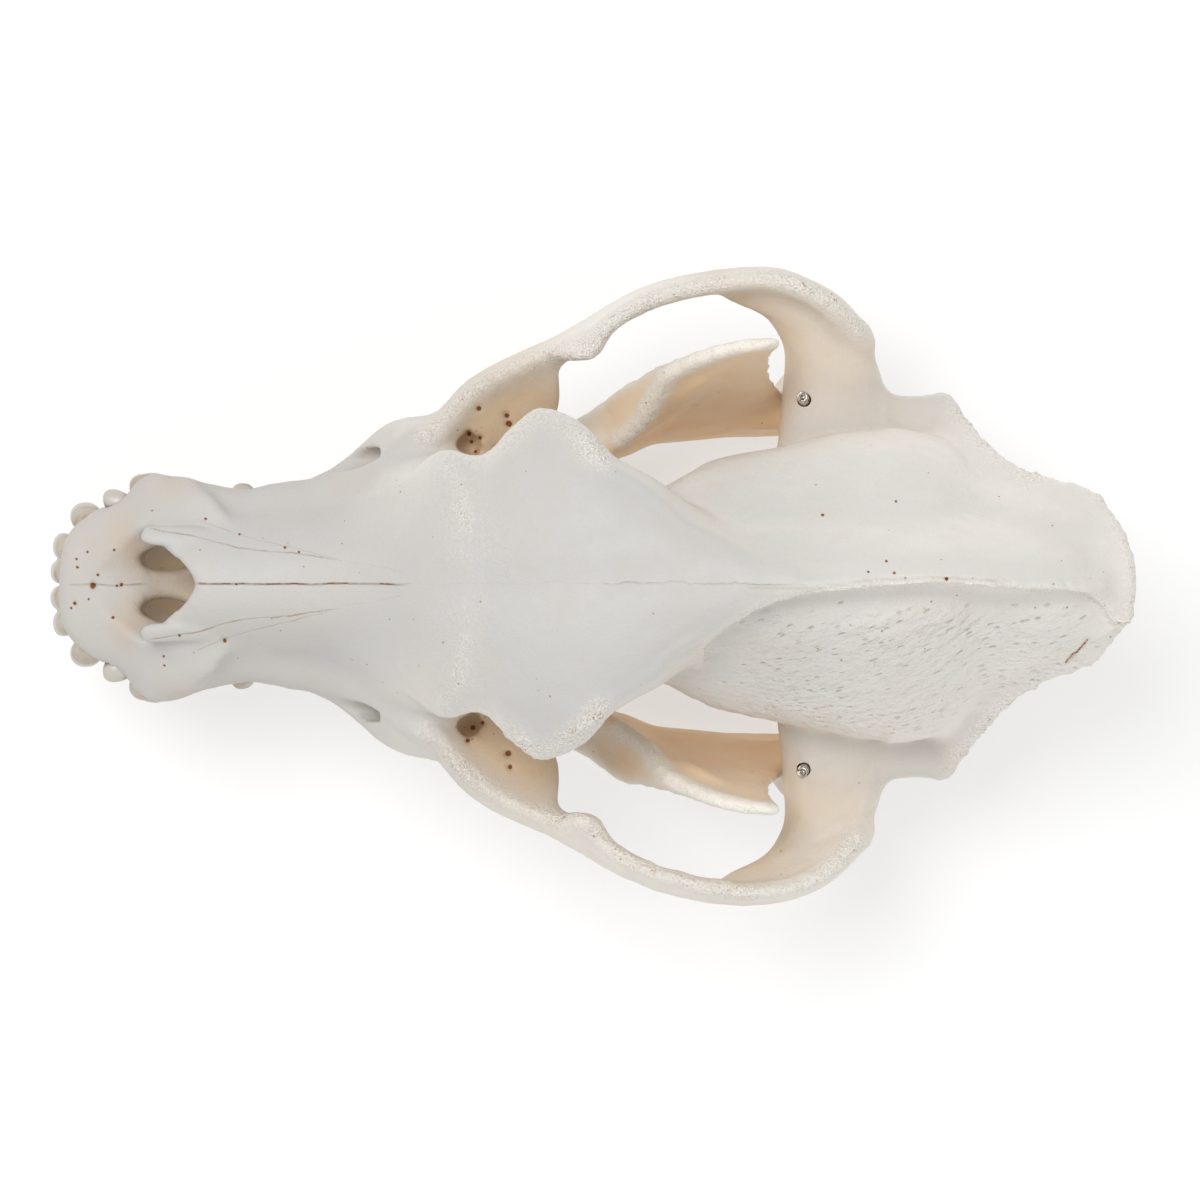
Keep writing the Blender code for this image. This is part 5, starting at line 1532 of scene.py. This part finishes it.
def spring_piece(side, wire, turns):
    """Close coil of round wire up through the socket, its top end leaning over and wound in to the middle.

    The centre line is a circle that rises evenly, then a spiral that rises as it closes, and the wire's
    section is a circle round it.
    """
    low, high = SPRING_LOW, SPRING_HIGH
    radius = (high[0] - low[0]) / 2 - wire / 2 - SPRING_ROOM
    middle = np.array([(low[0] + high[0]) / 2, (low[1] + high[1]) / 2, 0])
    top = high[2] - SPRING_TOP
    t = np.linspace(0, 1, turns * RINGS_PER_TURN + 1)
    angle = 2 * math.pi * turns * t
    rise = low[2] + wire / 2 + (top - low[2]) * t
    coil = np.stack([radius * np.cos(angle), radius * np.sin(angle), rise], -1)
    u = np.linspace(0, 1, 40)[1:]
    closing, angle = radius * (1 - 0.82 * u), 3.2 * math.pi * u
    rise = top + 0.9 * u + 0.3 * np.sin(angle)
    spiral = np.stack([closing * np.cos(angle), closing * np.sin(angle), rise], -1)
    line = np.vstack([coil, spiral])
    leaning = step(line[:, 2], top - 1.4, top + 0.9)[:, None]
    line = line + leaning * (0.5, -0.4, 0) + middle
    ahead = np.gradient(line, axis=0)
    ahead /= np.linalg.norm(ahead, axis=1)[:, None]
    out = line - middle * (1, 1, 0) - line * (0, 0, 1)
    out = out - ahead * np.einsum("ij,ij->i", out, ahead)[:, None]
    out /= np.maximum(np.linalg.norm(out, axis=1), 1e-9)[:, None]
    over = np.cross(ahead, out)
    round_wire = np.linspace(0, 2 * math.pi, 10, endpoint=False)[None, :, None]
    section = wire / 2 * (np.cos(round_wire) * out[:, None] + np.sin(round_wire) * over[:, None])
    points, faces = closed_tube(line[:, None] + section)
    return (points, faces) if side > 0 else mirrored((points, faces))


# Materials


class NodeTree:
    """Short ways to add nodes to a material or a group."""

    def __init__(self, tree):
        self.tree = tree

    def add(self, kind, inputs=(), **settings):
        """Node of a kind, its settings given by name and its inputs by name or number."""
        node = self.tree.nodes.new(kind)
        for name, value in settings.items():
            setattr(node, name, value)
        for name, value in dict(inputs).items():
            if isinstance(value, bpy.types.NodeSocket):
                self.tree.links.new(value, node.inputs[name])
            else:
                node.inputs[name].default_value = value
        return node

    def feed(self, sockets, values):
        """Links each value to the socket of its name."""
        for name, value in values.items():
            self.tree.links.new(value, sockets[name])

    def maths(self, operation, first, *others):
        """Result of a Math operation that takes numbers or sockets one after another."""
        for other in others or (0.0,):
            first = self.add("ShaderNodeMath", {0: first, 1: other}, operation=operation).outputs[0]
        return first

    def times(self, *values):
        """Product of numbers or sockets."""
        return self.maths("MULTIPLY", *values)

    def plus(self, *values):
        """Sum of numbers or sockets."""
        return self.maths("ADD", *values)

    def products(self, *pairs):
        """Sum of the products of several pairs of numbers or sockets."""
        return self.plus(*(self.times(*pair) for pair in pairs))

    def ranged(self, value, low, high, to_low=0.0, to_high=1.0):
        """Value carried smoothly from one range to another and held at its ends."""
        inputs = {"Value": value, "From Min": low, "From Max": high, "To Min": to_low, "To Max": to_high}
        return self.add("ShaderNodeMapRange", inputs, interpolation_type="SMOOTHSTEP").outputs[0]

    def noise(self, place, scale, detail=3.0, roughness=0.55):
        """Noise from 0 to 1 of a scale in waves for each metre."""
        inputs = {"Vector": place, "Scale": scale, "Detail": detail, "Roughness": roughness}
        return self.add("ShaderNodeTexNoise", inputs).outputs["Fac"]

    def wavering(self, place, scale, size, detail=3.0, roughness=0.55):
        """Noise from half a size below 0 to half a size above it."""
        return self.times(self.maths("SUBTRACT", self.noise(place, scale, detail, roughness), 0.5), size)

    def cells(self, place, scale):
        """Distance from the middle of a random cell, and a random number for each cell."""
        made = self.add("ShaderNodeTexVoronoi", {"Vector": place, "Scale": scale}, feature="F1")
        chance = self.add("ShaderNodeSeparateColor", {"Color": made.outputs["Color"]}).outputs[0]
        return made.outputs["Distance"], chance

    def mixed(self, share, first, second):
        """Colour between two colours, each of them a socket or red, green and blue."""
        ends = [end if isinstance(end, bpy.types.NodeSocket) else (*end, 1) for end in (first, second)]
        return self.add("ShaderNodeMix", {0: share, 6: ends[0], 7: ends[1]}, data_type="RGBA").outputs[2]

    def attribute(self, name):
        """Number that the mesh holds for each point under this name."""
        return self.add("ShaderNodeAttribute", attribute_name=name).outputs["Fac"]

    def object_place(self):
        """Place on the piece in metres, the same as in the scene."""
        return self.add("ShaderNodeTexCoord").outputs["Object"]


def group(name, numbers, results):
    """New shader node group that takes a place and named numbers, and gives named numbers."""
    tree = bpy.data.node_groups.new(name, "ShaderNodeTree")
    tree.interface.new_socket("Place", in_out="INPUT", socket_type="NodeSocketVector")
    for socket, default in numbers.items():
        made = tree.interface.new_socket(socket, in_out="INPUT", socket_type="NodeSocketFloat")
        made.default_value = default
    for socket in results:
        tree.interface.new_socket(socket, in_out="OUTPUT", socket_type="NodeSocketFloat")
    return NodeTree(tree), tree.nodes.new("NodeGroupInput").outputs, tree.nodes.new("NodeGroupOutput").inputs


def surface_group():
    """Surface of dry bone: crumbs where it is rough, slanting pits, sparse pores and fine grain over all,
    with masks for painted shade in the pits and between the grains (Hollow) and painted light on the grain
    tops.
    """
    numbers = {"Crumbs per metre": 1800.0, "Rough": 0.0, "Pitted": 0.0, "Porous": 0.0}
    nodes, given, result = group("Bone surface", numbers, ("Height", "Hollow", "Pale lit grain top", "Pore"))
    place, rough, pitted, porous = (given[name] for name in ("Place", "Rough", "Pitted", "Porous"))
    crumbs = nodes.noise(place, given["Crumbs per metre"], 3.0, 0.6)
    dents = nodes.noise(place, 420.0, 2.0, 0.5)
    fine = nodes.noise(place, 3400.0, 2.0, 0.5)
    away, _ = nodes.cells(place, 2000.0)
    grains = nodes.times(nodes.ranged(away, 0.75, 0.15), rough)
    gaps = nodes.times(nodes.ranged(away, 0.5, 0.75), nodes.ranged(crumbs, 0.62, 0.42), rough)
    slanted = nodes.add("ShaderNodeMapping", {"Vector": place, "Rotation": (0, 0, -2.05)}).outputs[0]
    slanted = nodes.add("ShaderNodeMapping", {"Vector": slanted, "Scale": (0.4, 1, 1)}).outputs[0]
    creases = nodes.noise(slanted, 900.0, 2.0, 0.5)
    pits, chance = nodes.cells(slanted, 950.0)
    share = nodes.times(pitted, 0.55)
    pits = nodes.times(nodes.ranged(pits, 0.42, 0.04), nodes.maths("LESS_THAN", chance, share))
    pores, chance = nodes.cells(place, 900.0)
    widest = nodes.times(chance, nodes.maths("DIVIDE", 0.14, nodes.plus(porous, 0.01)))
    pores = nodes.maths("LESS_THAN", pores, nodes.maths("SUBTRACT", 0.21, widest))
    pores = nodes.times(pores, nodes.maths("LESS_THAN", chance, porous))
    height = nodes.products(
        (crumbs, nodes.plus(nodes.products((rough, 0.8), (pitted, 0.3)), 0.2)),
        (fine, 0.2),
        (dents, nodes.plus(nodes.times(pitted, 1.4), 0.25)),
        (creases, nodes.times(pitted, 1.3)),
        (grains, 0.45),
        (pits, -0.8),
    )
    # Painted shade: mask for darker colour in the pits and between the grains
    hollow = nodes.maths("MINIMUM", nodes.plus(nodes.times(pits, 0.5), gaps), 1.0)
    # Painted light on the grain tops, partly the paler colour of the crumbs
    pale_lit_grain_top = nodes.times(nodes.ranged(crumbs, 0.4, 0.55), grains)
    nodes.feed(result, {"Height": height, "Hollow": hollow, "Pale lit grain top": pale_lit_grain_top, "Pore": pores})
    return nodes.tree


# Heights in metres over which what is seen from above starts to show
PINHOLES_FROM = (0.0438, 0.0446)
SUTURES_FROM = (0.053, 0.056)
MIDDLE_LINE_FROM = (0.0455, 0.0465)


def y_of(s):
    """Place on the Y axis in metres for an s in millimetres."""
    return (s - MIDDLE) * METRES


def pinholes_group():
    """Pinholes: ragged round spots at fixed places, seen from above, with a paler brown ring round each."""
    nodes, given, result = group("Pinholes", {"Ragged": 0.0004}, ("Hole", "Ring"))
    place = given["Place"]
    flat = nodes.add("ShaderNodeVectorMath", {0: place, 1: (1, 1, 0)}, operation="MULTIPLY").outputs[0]
    edge = nodes.wavering(place, 1500.0, given["Ragged"])
    nearest = None
    for x, s, radius in PINHOLES:
        points = {0: flat, 1: (x * METRES, y_of(s), 0)}
        away = nodes.add("ShaderNodeVectorMath", points, operation="DISTANCE").outputs["Value"]
        away = nodes.maths("DIVIDE", nodes.plus(away, edge), radius * METRES)
        nearest = away if nearest is None else nodes.maths("MINIMUM", nearest, away)
    on_top = nodes.ranged(nodes.add("ShaderNodeSeparateXYZ", {0: place}).outputs["Z"], *PINHOLES_FROM)
    hole = nodes.times(nodes.ranged(nearest, 1.15, 0.8), on_top)
    ring = nodes.times(nodes.ranged(nearest, 2.0, 1.0), on_top)
    nodes.feed(result, {"Hole": hole, "Ring": ring})
    return nodes.tree


# Sutures seen from above: s of the first and last place, and x at places spread evenly between them
SUTURES = [
    ("nose to jaw, front", 22.5, 60.5, (10.9, 9.2, 6.9, 6.0, 4.6), 0.5),
    ("jaw to nose, side", 31.0, 60.0, (13.2, 10.4, 8.3, 6.6, 4.9), 0.3),
    ("nose to forehead", 60.0, 74.0, (4.6, 3.9, 3.4, 2.6, 1.6), 0.15),
    ("cheek arch", 111.0, 128.0, (51.7, 53.4, 54.8, 56.0, 57.1), 0.25),
]
# Parts of the line along the middle: first and last s, strength, and how far it wanders
MIDDLE_LINE = [
    (5.0, 22.0, 0.5, 0.4),  # lip
    (31.8, 74.0, 0.95, 0.3),  # nose
    (74.0, 112.0, 0.12, 0.6),  # forehead
    (110.0, 147.0, 0.35, 1.0),  # crown
]


def sutures_group():
    """Sutures: thin wavy lines where the width across is a smooth function of the place along the skull."""
    nodes, given, result = group("Sutures", {"Width": 0.00027}, ("Line",))
    waves = nodes.wavering(given["Place"], 240.0, 0.0009, 4.0, 0.6)
    wander = nodes.wavering(given["Place"], 130.0, 0.0034, 4.0, 0.6)
    axes = nodes.add("ShaderNodeSeparateXYZ", {0: given["Place"]}).outputs
    half = nodes.maths("ABSOLUTE", axes["X"])
    on_top = nodes.ranged(axes["Z"], *SUTURES_FROM)
    found = None
    for name, first, last, across, strength in SUTURES:
        ends = {"Value": axes["Y"], "From Min": y_of(first), "From Max": y_of(last)}
        share = nodes.add("ShaderNodeMapRange", ends, label=name).outputs[0]
        curve = nodes.add("ShaderNodeFloatCurve", {"Value": share})
        widest = max(across) * METRES
        line = curve.mapping.curves[0]
        for index, x in enumerate(across):
            at, height = index / (len(across) - 1), x * METRES / widest
            if index in (0, len(across) - 1):
                line.points[0 if index == 0 else -1].location = (at, height)
            else:
                line.points.new(at, height)
        curve.mapping.update()
        wanted = nodes.times(curve.outputs[0], widest)
        away = nodes.maths("ABSOLUTE", nodes.plus(nodes.maths("SUBTRACT", half, wanted), waves))
        found = joined_line(nodes, found, away, axes["Y"], given["Width"], first, last, strength)
    found = nodes.times(found, on_top)
    for first, last, strength, swing in MIDDLE_LINE:
        wandered = nodes.times(wander, swing)
        away = nodes.maths("ABSOLUTE", nodes.plus(axes["X"], wandered))
        found = joined_line(nodes, found, away, axes["Y"], given["Width"], first, last, strength)
    above_palate = nodes.ranged(axes["Z"], *MIDDLE_LINE_FROM)
    nodes.feed(result, {"Line": nodes.times(found, above_palate)})
    return nodes.tree


def joined_line(nodes, found, away, along, width, first, last, strength):
    """The lines so far, and one more that is darkest at its middle and fades over its ends."""
    dark = nodes.maths("SUBTRACT", 1.0, nodes.maths("DIVIDE", away, width))
    dark = nodes.times(nodes.ranged(dark, 0.0, 1.0), strength)
    starts = nodes.ranged(along, y_of(first) - 0.0005, y_of(first) + 0.0015)
    ends = nodes.ranged(along, y_of(last) - 0.003, y_of(last) + 0.001, 1.0, 0.0)
    dark = nodes.times(dark, starts, ends)
    return dark if found is None else nodes.maths("MAXIMUM", found, dark)


def new_material(name, roughness):
    """Material with one Principled shader, a way to add nodes to it, and the shader's inputs."""
    made = bpy.data.materials.new(name)
    made.use_nodes = True
    shader = made.node_tree.nodes["Principled BSDF"].inputs
    shader["Roughness"].default_value = roughness
    return made, NodeTree(made.node_tree), shader


def grouped(nodes, tree, inputs):
    """A node group placed in a material with its own values."""
    return nodes.add("ShaderNodeGroup", inputs, node_tree=tree).outputs


def bone_material(name, colours, light, warm, surface, seen_from_above=()):
    """Dry bone: bleached, creamy where it is crumbly with painted light on its grain tops, warm and partly
    painted shade in hollows and underneath, painted shade in pits and between grains, brown in pores, slits
    and sutures.
    """
    made, nodes, shader = new_material(name, 0.6)
    place = nodes.object_place()
    rough, pitted, porous = (nodes.attribute(mark) for mark in ("rough", "pitted", "porous"))
    skin = grouped(nodes, surface, {"Place": place, "Rough": rough, "Pitted": pitted, "Porous": porous})
    cloudy = nodes.noise(place, 45.0, 4.0, 0.55)
    blotches = nodes.noise(place, 190.0, 4.0, 0.6)
    # Paler towards the back and on the cheeks, and painted light on steep sides
    colour_now = nodes.mixed(nodes.attribute("pale"), light, colours.pale_bone_and_painted_light)
    clouds, patches = nodes.ranged(cloudy, 0.4, 0.75, 0.0, 0.1), nodes.ranged(blotches, 0.5, 0.8, 0.0, 0.1)
    # Warm: partly bone that stayed less bleached, partly painted shade underneath and in hollows
    share = nodes.maths("MINIMUM", nodes.plus(nodes.attribute("warm"), clouds, patches), 1.0)
    colour_now = nodes.mixed(share, colour_now, warm)
    # Creamy where the bone is rough, and painted light on the grain tops
    colour_now = nodes.mixed(nodes.products((rough, 0.35), (skin["Pale lit grain top"], 0.65)), colour_now, colours.crumbs)
    # Painted shade: darker, warmer colour in the pits and between the grains
    pit_shade_colour = [channel * tone for channel, tone in zip(colours.warm_bone_and_painted_shade, (0.95, 0.92, 0.9))]
    colour_now = nodes.mixed(nodes.times(skin["Hollow"], 0.5), colour_now, pit_shade_colour)
    tint = nodes.noise(place, 330.0, 2.0, 0.5)
    # Brown: stain in pores and slits; in the pits, between the grains and at the eye's inner corner it is
    # partly painted shade
    brown = nodes.maths(
        "MAXIMUM",
        nodes.times(skin["Hollow"], nodes.ranged(tint, 0.52, 0.66, 0.0, 0.6)),
        nodes.times(skin["Pore"], 0.6),
        nodes.times(nodes.attribute("slit"), 0.8),
    )
    height = skin["Height"]
    for tree in seen_from_above:
        found = grouped(nodes, tree, {"Place": place})
        if "Line" in found:
            patchy = nodes.ranged(nodes.noise(place, 260.0), 0.35, 0.65, 0.25, 1.0)
            brown = nodes.maths("MAXIMUM", brown, nodes.times(found["Line"], patchy))
            height = nodes.maths("SUBTRACT", height, nodes.times(found["Line"], 0.7))
        else:
            brown = nodes.maths("MAXIMUM", brown, nodes.times(found["Ring"], 0.3), found["Hole"])
    colour_now = nodes.mixed(nodes.ranged(brown, 0.0, 0.75), colour_now, colours.tan)
    colour_now = nodes.mixed(nodes.ranged(brown, 0.5, 1.0), colour_now, colours.stain)
    bumps = nodes.add("ShaderNodeBump", {"Height": height, "Strength": 0.9, "Distance": 0.0004})
    roughness = nodes.ranged(blotches, 0.3, 0.7, 0.5, 0.68)
    nodes.feed(shader, {"Base Color": colour_now, "Roughness": roughness, "Normal": bumps.outputs[0]})
    return made


def enamel_material(name, colours):
    """Tooth: cool ivory enamel with fine upright lines, brown-yellow at the neck."""
    made, nodes, shader = new_material(name, 0.28)
    place = nodes.object_place()
    upright = nodes.add("ShaderNodeMapping", {"Vector": place, "Scale": (1, 1, 0.12)}).outputs[0]
    lines = nodes.noise(upright, 1500.0, 3.0, 0.6)
    blotches = nodes.noise(place, 300.0, 3.0, 0.5)
    neck = nodes.times(nodes.attribute("neck"), nodes.ranged(blotches, 0.3, 0.65, 0.45, 0.95))
    colour_now = nodes.mixed(neck, colours.enamel, colours.neck)
    marks = nodes.maths("MAXIMUM", nodes.attribute("stain"), nodes.ranged(lines, 0.62, 0.75, 0.0, 0.12))
    colour_now = nodes.mixed(marks, colour_now, colours.stain)
    bumps = nodes.add("ShaderNodeBump", {"Height": lines, "Strength": 0.15, "Distance": 0.0002})
    roughness = nodes.plus(nodes.times(neck, 0.25), 0.31)
    nodes.feed(shader, {"Base Color": colour_now, "Roughness": roughness, "Normal": bumps.outputs[0]})
    return made


def steel_material(name, colours):
    """Spring wire: dull steel with rust in blotches."""
    made, nodes, shader = new_material(name, 0.35)
    rusty = nodes.ranged(nodes.noise(nodes.object_place(), 900.0, 4.0, 0.6), 0.5, 0.66)
    colour_now = nodes.mixed(rusty, colours.steel, colours.rust)
    roughness = nodes.plus(nodes.times(rusty, 0.4), 0.3)
    metal = nodes.maths("SUBTRACT", 1.0, rusty)
    nodes.feed(shader, {"Base Color": colour_now, "Roughness": roughness, "Metallic": metal})
    return made


# Shown pieces

SHARP = math.radians(48)  # edges that turn more than this stay sharp
CRANIUM_TRIANGLES = 340000  # of the whole cranium before it is parted
BONE_TRIANGLES = 190000  # of one shown bone at most
ON_SEAM = 0.02  # how close to the waist seam's plane a triangle lies that closes the cut


def lightened(piece, triangles):
    """The piece with no more than this many triangles, thinned most where it is flat."""
    if len(piece[1]) <= triangles:
        return piece
    obj = mesh_object("thinned", piece)
    fewer = obj.modifiers.new("fewer", "DECIMATE")
    fewer.ratio = triangles / len(piece[1])
    fewer.use_collapse_triangulate = True
    return piece_of(applied(obj))


def shown(name, piece, material, nodes, marks=None):
    """Object at the origin out of a piece in millimetres, in the place of the CAD nodes and inside their box.

    marks is a function of place and outward direction that gives the attributes that the material reads. The
    triangles that close the cut across the waist have no say in the direction.
    """
    points, faces = piece
    points = np.clip(points, *(np.array(corner) / METRES for corner in CAD_BOX))
    obj = mesh_object(name, (points * METRES, faces))
    mesh = obj.data
    along = points[faces][:, :, 1]
    skin = faces[np.ptp(along, axis=1) + np.abs(along[:, 0] + MIDDLE - WAIST_SEAM) > ON_SEAM]
    for mark, values in (marks(placed(points), normals_of(points, skin)) if marks else {}).items():
        attribute = mesh.attributes.new(mark, "FLOAT", "POINT")
        attribute.data.foreach_set("value", np.clip(values, 0, 1).astype(np.float32))
    mesh.materials.append(material)
    mesh.shade_smooth()
    mesh.set_sharp_from_angle(angle=SHARP)
    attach(obj, "root")
    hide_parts(*nodes)


def show_teeth(context, name, pieces, nodes, marks):
    """Teeth of one jaw out of the pieces of its left side, in enamel."""
    teeth = uneven(chipped(tooth_set(pieces, context.scene.skull_sizes.tooth_cell / METRES)))
    shown(name, teeth, skull_finish("enamel", context.scene.skull_colours), nodes, marks)


def tree_of(name, make):
    """The shared node group of that name, made on its first use."""
    return bpy.data.node_groups.get(name) or make()


def skull_finish(name, colours):
    """The finish of that name, made on its first use."""
    title = "skull " + name
    if title in bpy.data.materials:
        return bpy.data.materials[title]
    if name == "enamel":
        return enamel_material(title, colours)
    if name == "wire":
        return steel_material(title, colours)
    surface = tree_of("Bone surface", surface_group)
    if name == "jaw":
        return bone_material(title, colours, colours.jaw_bone, colours.warm_jaw_and_painted_light, surface)
    seen_from_above = [tree_of("Sutures", sutures_group), tree_of("Pinholes", pinholes_group)]
    return bone_material(title, colours, colours.bone, colours.warm_bone_and_painted_shade, surface, seen_from_above)


# Operators


class SKULL_OT_cranium(bpy.types.Operator):
    """Build the upper skull: face, braincase and the two cheek bones"""

    bl_idname = "skull.cranium"
    bl_label = "Cranium"
    bl_options = {"REGISTER", "UNDO"}

    def execute(self, context):
        sizes, colours = context.scene.skull_sizes, context.scene.skull_colours
        whole = cranium_skin(sizes.coarse_cell / METRES, sizes.fine_cell / METRES)
        whole = lightened(weathered(uneven(whole), sizes.roughening / METRES), CRANIUM_TRIANGLES)
        cheeks = both(cheek_block())
        behind = block((-100, WAIST_SEAM, -50), (100, 260, 150))
        before = block((-42, -50, -50), (42, WAIST_SEAM, 150))
        bone = skull_finish("bone", colours)
        bones = [
            ("face_bone", combined(whole, [behind] + cheeks, "DIFFERENCE"), "face"),
            ("braincase_bone", combined(whole, [before] + cheeks, "DIFFERENCE"), "braincase"),
            ("cheek_bone_left", combined(whole, cheeks[:1], "INTERSECT"), "zygomatic_left"),
            ("cheek_bone_right", combined(whole, cheeks[1:], "INTERSECT"), "zygomatic_right"),
        ]
        for name, piece, node in bones:
            shown(name, lightened(piece, BONE_TRIANGLES), bone, [node], bone_marks)
        return {"FINISHED"}


class SKULL_OT_lower_jaw(bpy.types.Operator):
    """Build the two halves of the lower jaw"""

    bl_idname = "skull.lower_jaw"
    bl_label = "Lower Jaw"
    bl_options = {"REGISTER", "UNDO"}

    def execute(self, context):
        sizes = context.scene.skull_sizes
        left = jaw_skin(sizes.coarse_cell / METRES, sizes.fine_cell / METRES)
        bone = skull_finish("jaw", context.scene.skull_colours)
        for side, piece in (("left", left), ("right", mirrored(left))):
            piece = lightened(weathered_jaw(uneven(piece), sizes.roughening / METRES), BONE_TRIANGLES)
            shown("jaw_bone_" + side, piece, bone, ["mandible_" + side], jaw_marks)
        return {"FINISHED"}


class SKULL_OT_upper_teeth(bpy.types.Operator):
    """Build the incisors, canines, premolars and molars of the upper jaw"""

    bl_idname = "skull.upper_teeth"
    bl_label = "Upper Teeth"
    bl_options = {"REGISTER", "UNDO"}

    def execute(self, context):
        pieces = tooth_pieces(UPPER_ROW, UPPER_GUM, UPPER_FRONT, UPPER_CUSPS)
        show_teeth(context, "upper_teeth", pieces, ["face"], upper_tooth_marks)
        return {"FINISHED"}


class SKULL_OT_lower_teeth(bpy.types.Operator):
    """Build the incisors, canines, premolars and molars of the lower jaw"""

    bl_idname = "skull.lower_teeth"
    bl_label = "Lower Teeth"
    bl_options = {"REGISTER", "UNDO"}

    def execute(self, context):
        pieces = tooth_pieces(LOWER_ROW, LOWER_GUM, LOWER_FRONT, LOWER_CUSPS)
        jaws = ["mandible_left", "mandible_right"]
        show_teeth(context, "lower_teeth", pieces, jaws, lower_tooth_marks)
        return {"FINISHED"}


class SKULL_OT_springs(bpy.types.Operator):
    """Build the coil springs that hold the lower jaw at its two joints"""

    bl_idname = "skull.springs"
    bl_label = "Jaw Springs"
    bl_options = {"REGISTER", "UNDO"}

    def execute(self, context):
        sizes = context.scene.skull_sizes
        steel = skull_finish("wire", context.scene.skull_colours)
        for side, sign in (("left", 1), ("right", -1)):
            piece = spring_piece(sign, sizes.wire / METRES, sizes.spring_turns)
            shown("spring_" + side, piece, steel, ["jaw_spring_" + side])
        return {"FINISHED"}


CAMERA_AT = (0.00304, 0.0042, 1.0)  # straight above the middle of the view
SENSOR = 36.0
LENS = 145.19  # for a frame as wide as it is high
FLOOR_HALF = 20.0
PAPER_GRAIN = 12.0  # waves for each metre of the floor's faint mottling
PAPER_SHADE = 0.985  # its darker tone as a share of the floor's colour
FLOOR_GLOW = 0.53
# Place, size in metres and power in watts of each lamp, and the place that they look at
KEY_LIGHT = ((-0.36, -0.35, 1.36), 0.6, 10.8)
FILL_LIGHT = ((0.75, 0.8, 1.0), 1.5, 4.2)
LIT_PLACE = (0, 0, 0.04)
AMBIENT = 0.62  # strength of the world's light, which is 1 where the camera sees it


def area_light(name, place, size, power):
    """Square light that looks at the skull."""
    light = bpy.data.lights.new(name, "AREA")
    light.size = size
    light.energy = power
    obj = bpy.data.objects.new(name, light)
    bpy.context.scene.collection.objects.link(obj)
    obj.location = place
    obj.rotation_euler = (Vector(LIT_PLACE) - Vector(place)).to_track_quat("-Z", "Y").to_euler()


class SKULL_OT_stage(bpy.types.Operator):
    """Build the floor, the lights and the camera straight above the skull"""

    bl_idname = "skull.stage"
    bl_label = "Stage"
    bl_options = {"REGISTER", "UNDO"}

    def execute(self, context):
        scene = context.scene
        half = FLOOR_HALF
        corners = np.array([(-half, -half, 0), (half, -half, 0), (half, half, 0), (-half, half, 0)], float)
        floor = mesh_object("floor", (corners, np.array([(0, 1, 2), (0, 2, 3)])))
        paper, nodes, shader = new_material("paper", 0.9)
        grain = nodes.noise(nodes.object_place(), PAPER_GRAIN)
        pale = scene.skull_colours.floor
        nodes.feed(shader, {"Base Color": nodes.mixed(grain, [tone * PAPER_SHADE for tone in pale], pale)})
        shader["Specular IOR Level"].default_value = 0.0
        shader["Emission Color"].default_value = (1, 1, 1, 1)
        shader["Emission Strength"].default_value = FLOOR_GLOW
        floor.data.materials.append(paper)
        for name, settings in (("key light", KEY_LIGHT), ("fill light", FILL_LIGHT)):
            area_light(name, *settings)
        self.make_world(scene)
        camera = bpy.data.objects.new("camera", bpy.data.cameras.new("camera"))
        scene.collection.objects.link(camera)
        camera.data.sensor_width = SENSOR
        camera.data.lens = LENS
        camera.location = CAMERA_AT
        camera.rotation_euler = (0, 0, math.pi / 2)
        scene.camera = camera
        scene.view_settings.view_transform = "Standard"
        return {"FINISHED"}

    def make_world(self, scene):
        """World that lights evenly, and is seen as white behind the floor."""
        world = bpy.data.worlds.new("studio")
        world.use_nodes = True
        scene.world = world
        nodes = NodeTree(world.node_tree)
        behind = nodes.add("ShaderNodeLightPath").outputs["Is Camera Ray"]
        strength = nodes.plus(nodes.times(behind, 1.0 - AMBIENT), AMBIENT)
        backdrop = world.node_tree.nodes["Background"]
        backdrop.inputs["Color"].default_value = (1, 1, 1, 1)
        nodes.feed(backdrop.inputs, {"Strength": strength})


OPERATORS = [
    SKULL_OT_cranium,
    SKULL_OT_lower_jaw,
    SKULL_OT_upper_teeth,
    SKULL_OT_lower_teeth,
    SKULL_OT_springs,
    SKULL_OT_stage,
]


class SKULL_PT_panel(bpy.types.Panel):
    """Lists the skull's sizes, colours and pieces"""

    bl_idname = "SKULL_PT_panel"
    bl_label = "Dog Skull"
    bl_space_type = "VIEW_3D"
    bl_region_type = "UI"
    bl_category = "Skull"

    def draw(self, context):
        for settings in (context.scene.skull_sizes, context.scene.skull_colours):
            column = self.layout.column(align=True)
            for name in settings.__annotations__:
                column.prop(settings, name)
        for operator in OPERATORS:
            self.layout.operator(operator.bl_idname)


CLASSES = [SkullSizes, SkullColours, *OPERATORS, SKULL_PT_panel]


def register():
    """Registers the classes and gives each scene its sizes and colours."""
    for kind in CLASSES:
        bpy.utils.register_class(kind)
    bpy.types.Scene.skull_sizes = PointerProperty(type=SkullSizes)
    bpy.types.Scene.skull_colours = PointerProperty(type=SkullColours)


def unregister():
    """Takes back what register did."""
    del bpy.types.Scene.skull_sizes
    del bpy.types.Scene.skull_colours
    for kind in reversed(CLASSES):
        bpy.utils.unregister_class(kind)


def main():
    """Calls the operators in order."""
    register()
    for operator in OPERATORS:
        group_name, call = operator.bl_idname.split(".")
        getattr(getattr(bpy.ops, group_name), call)()


if __name__ == "__main__":
    main()
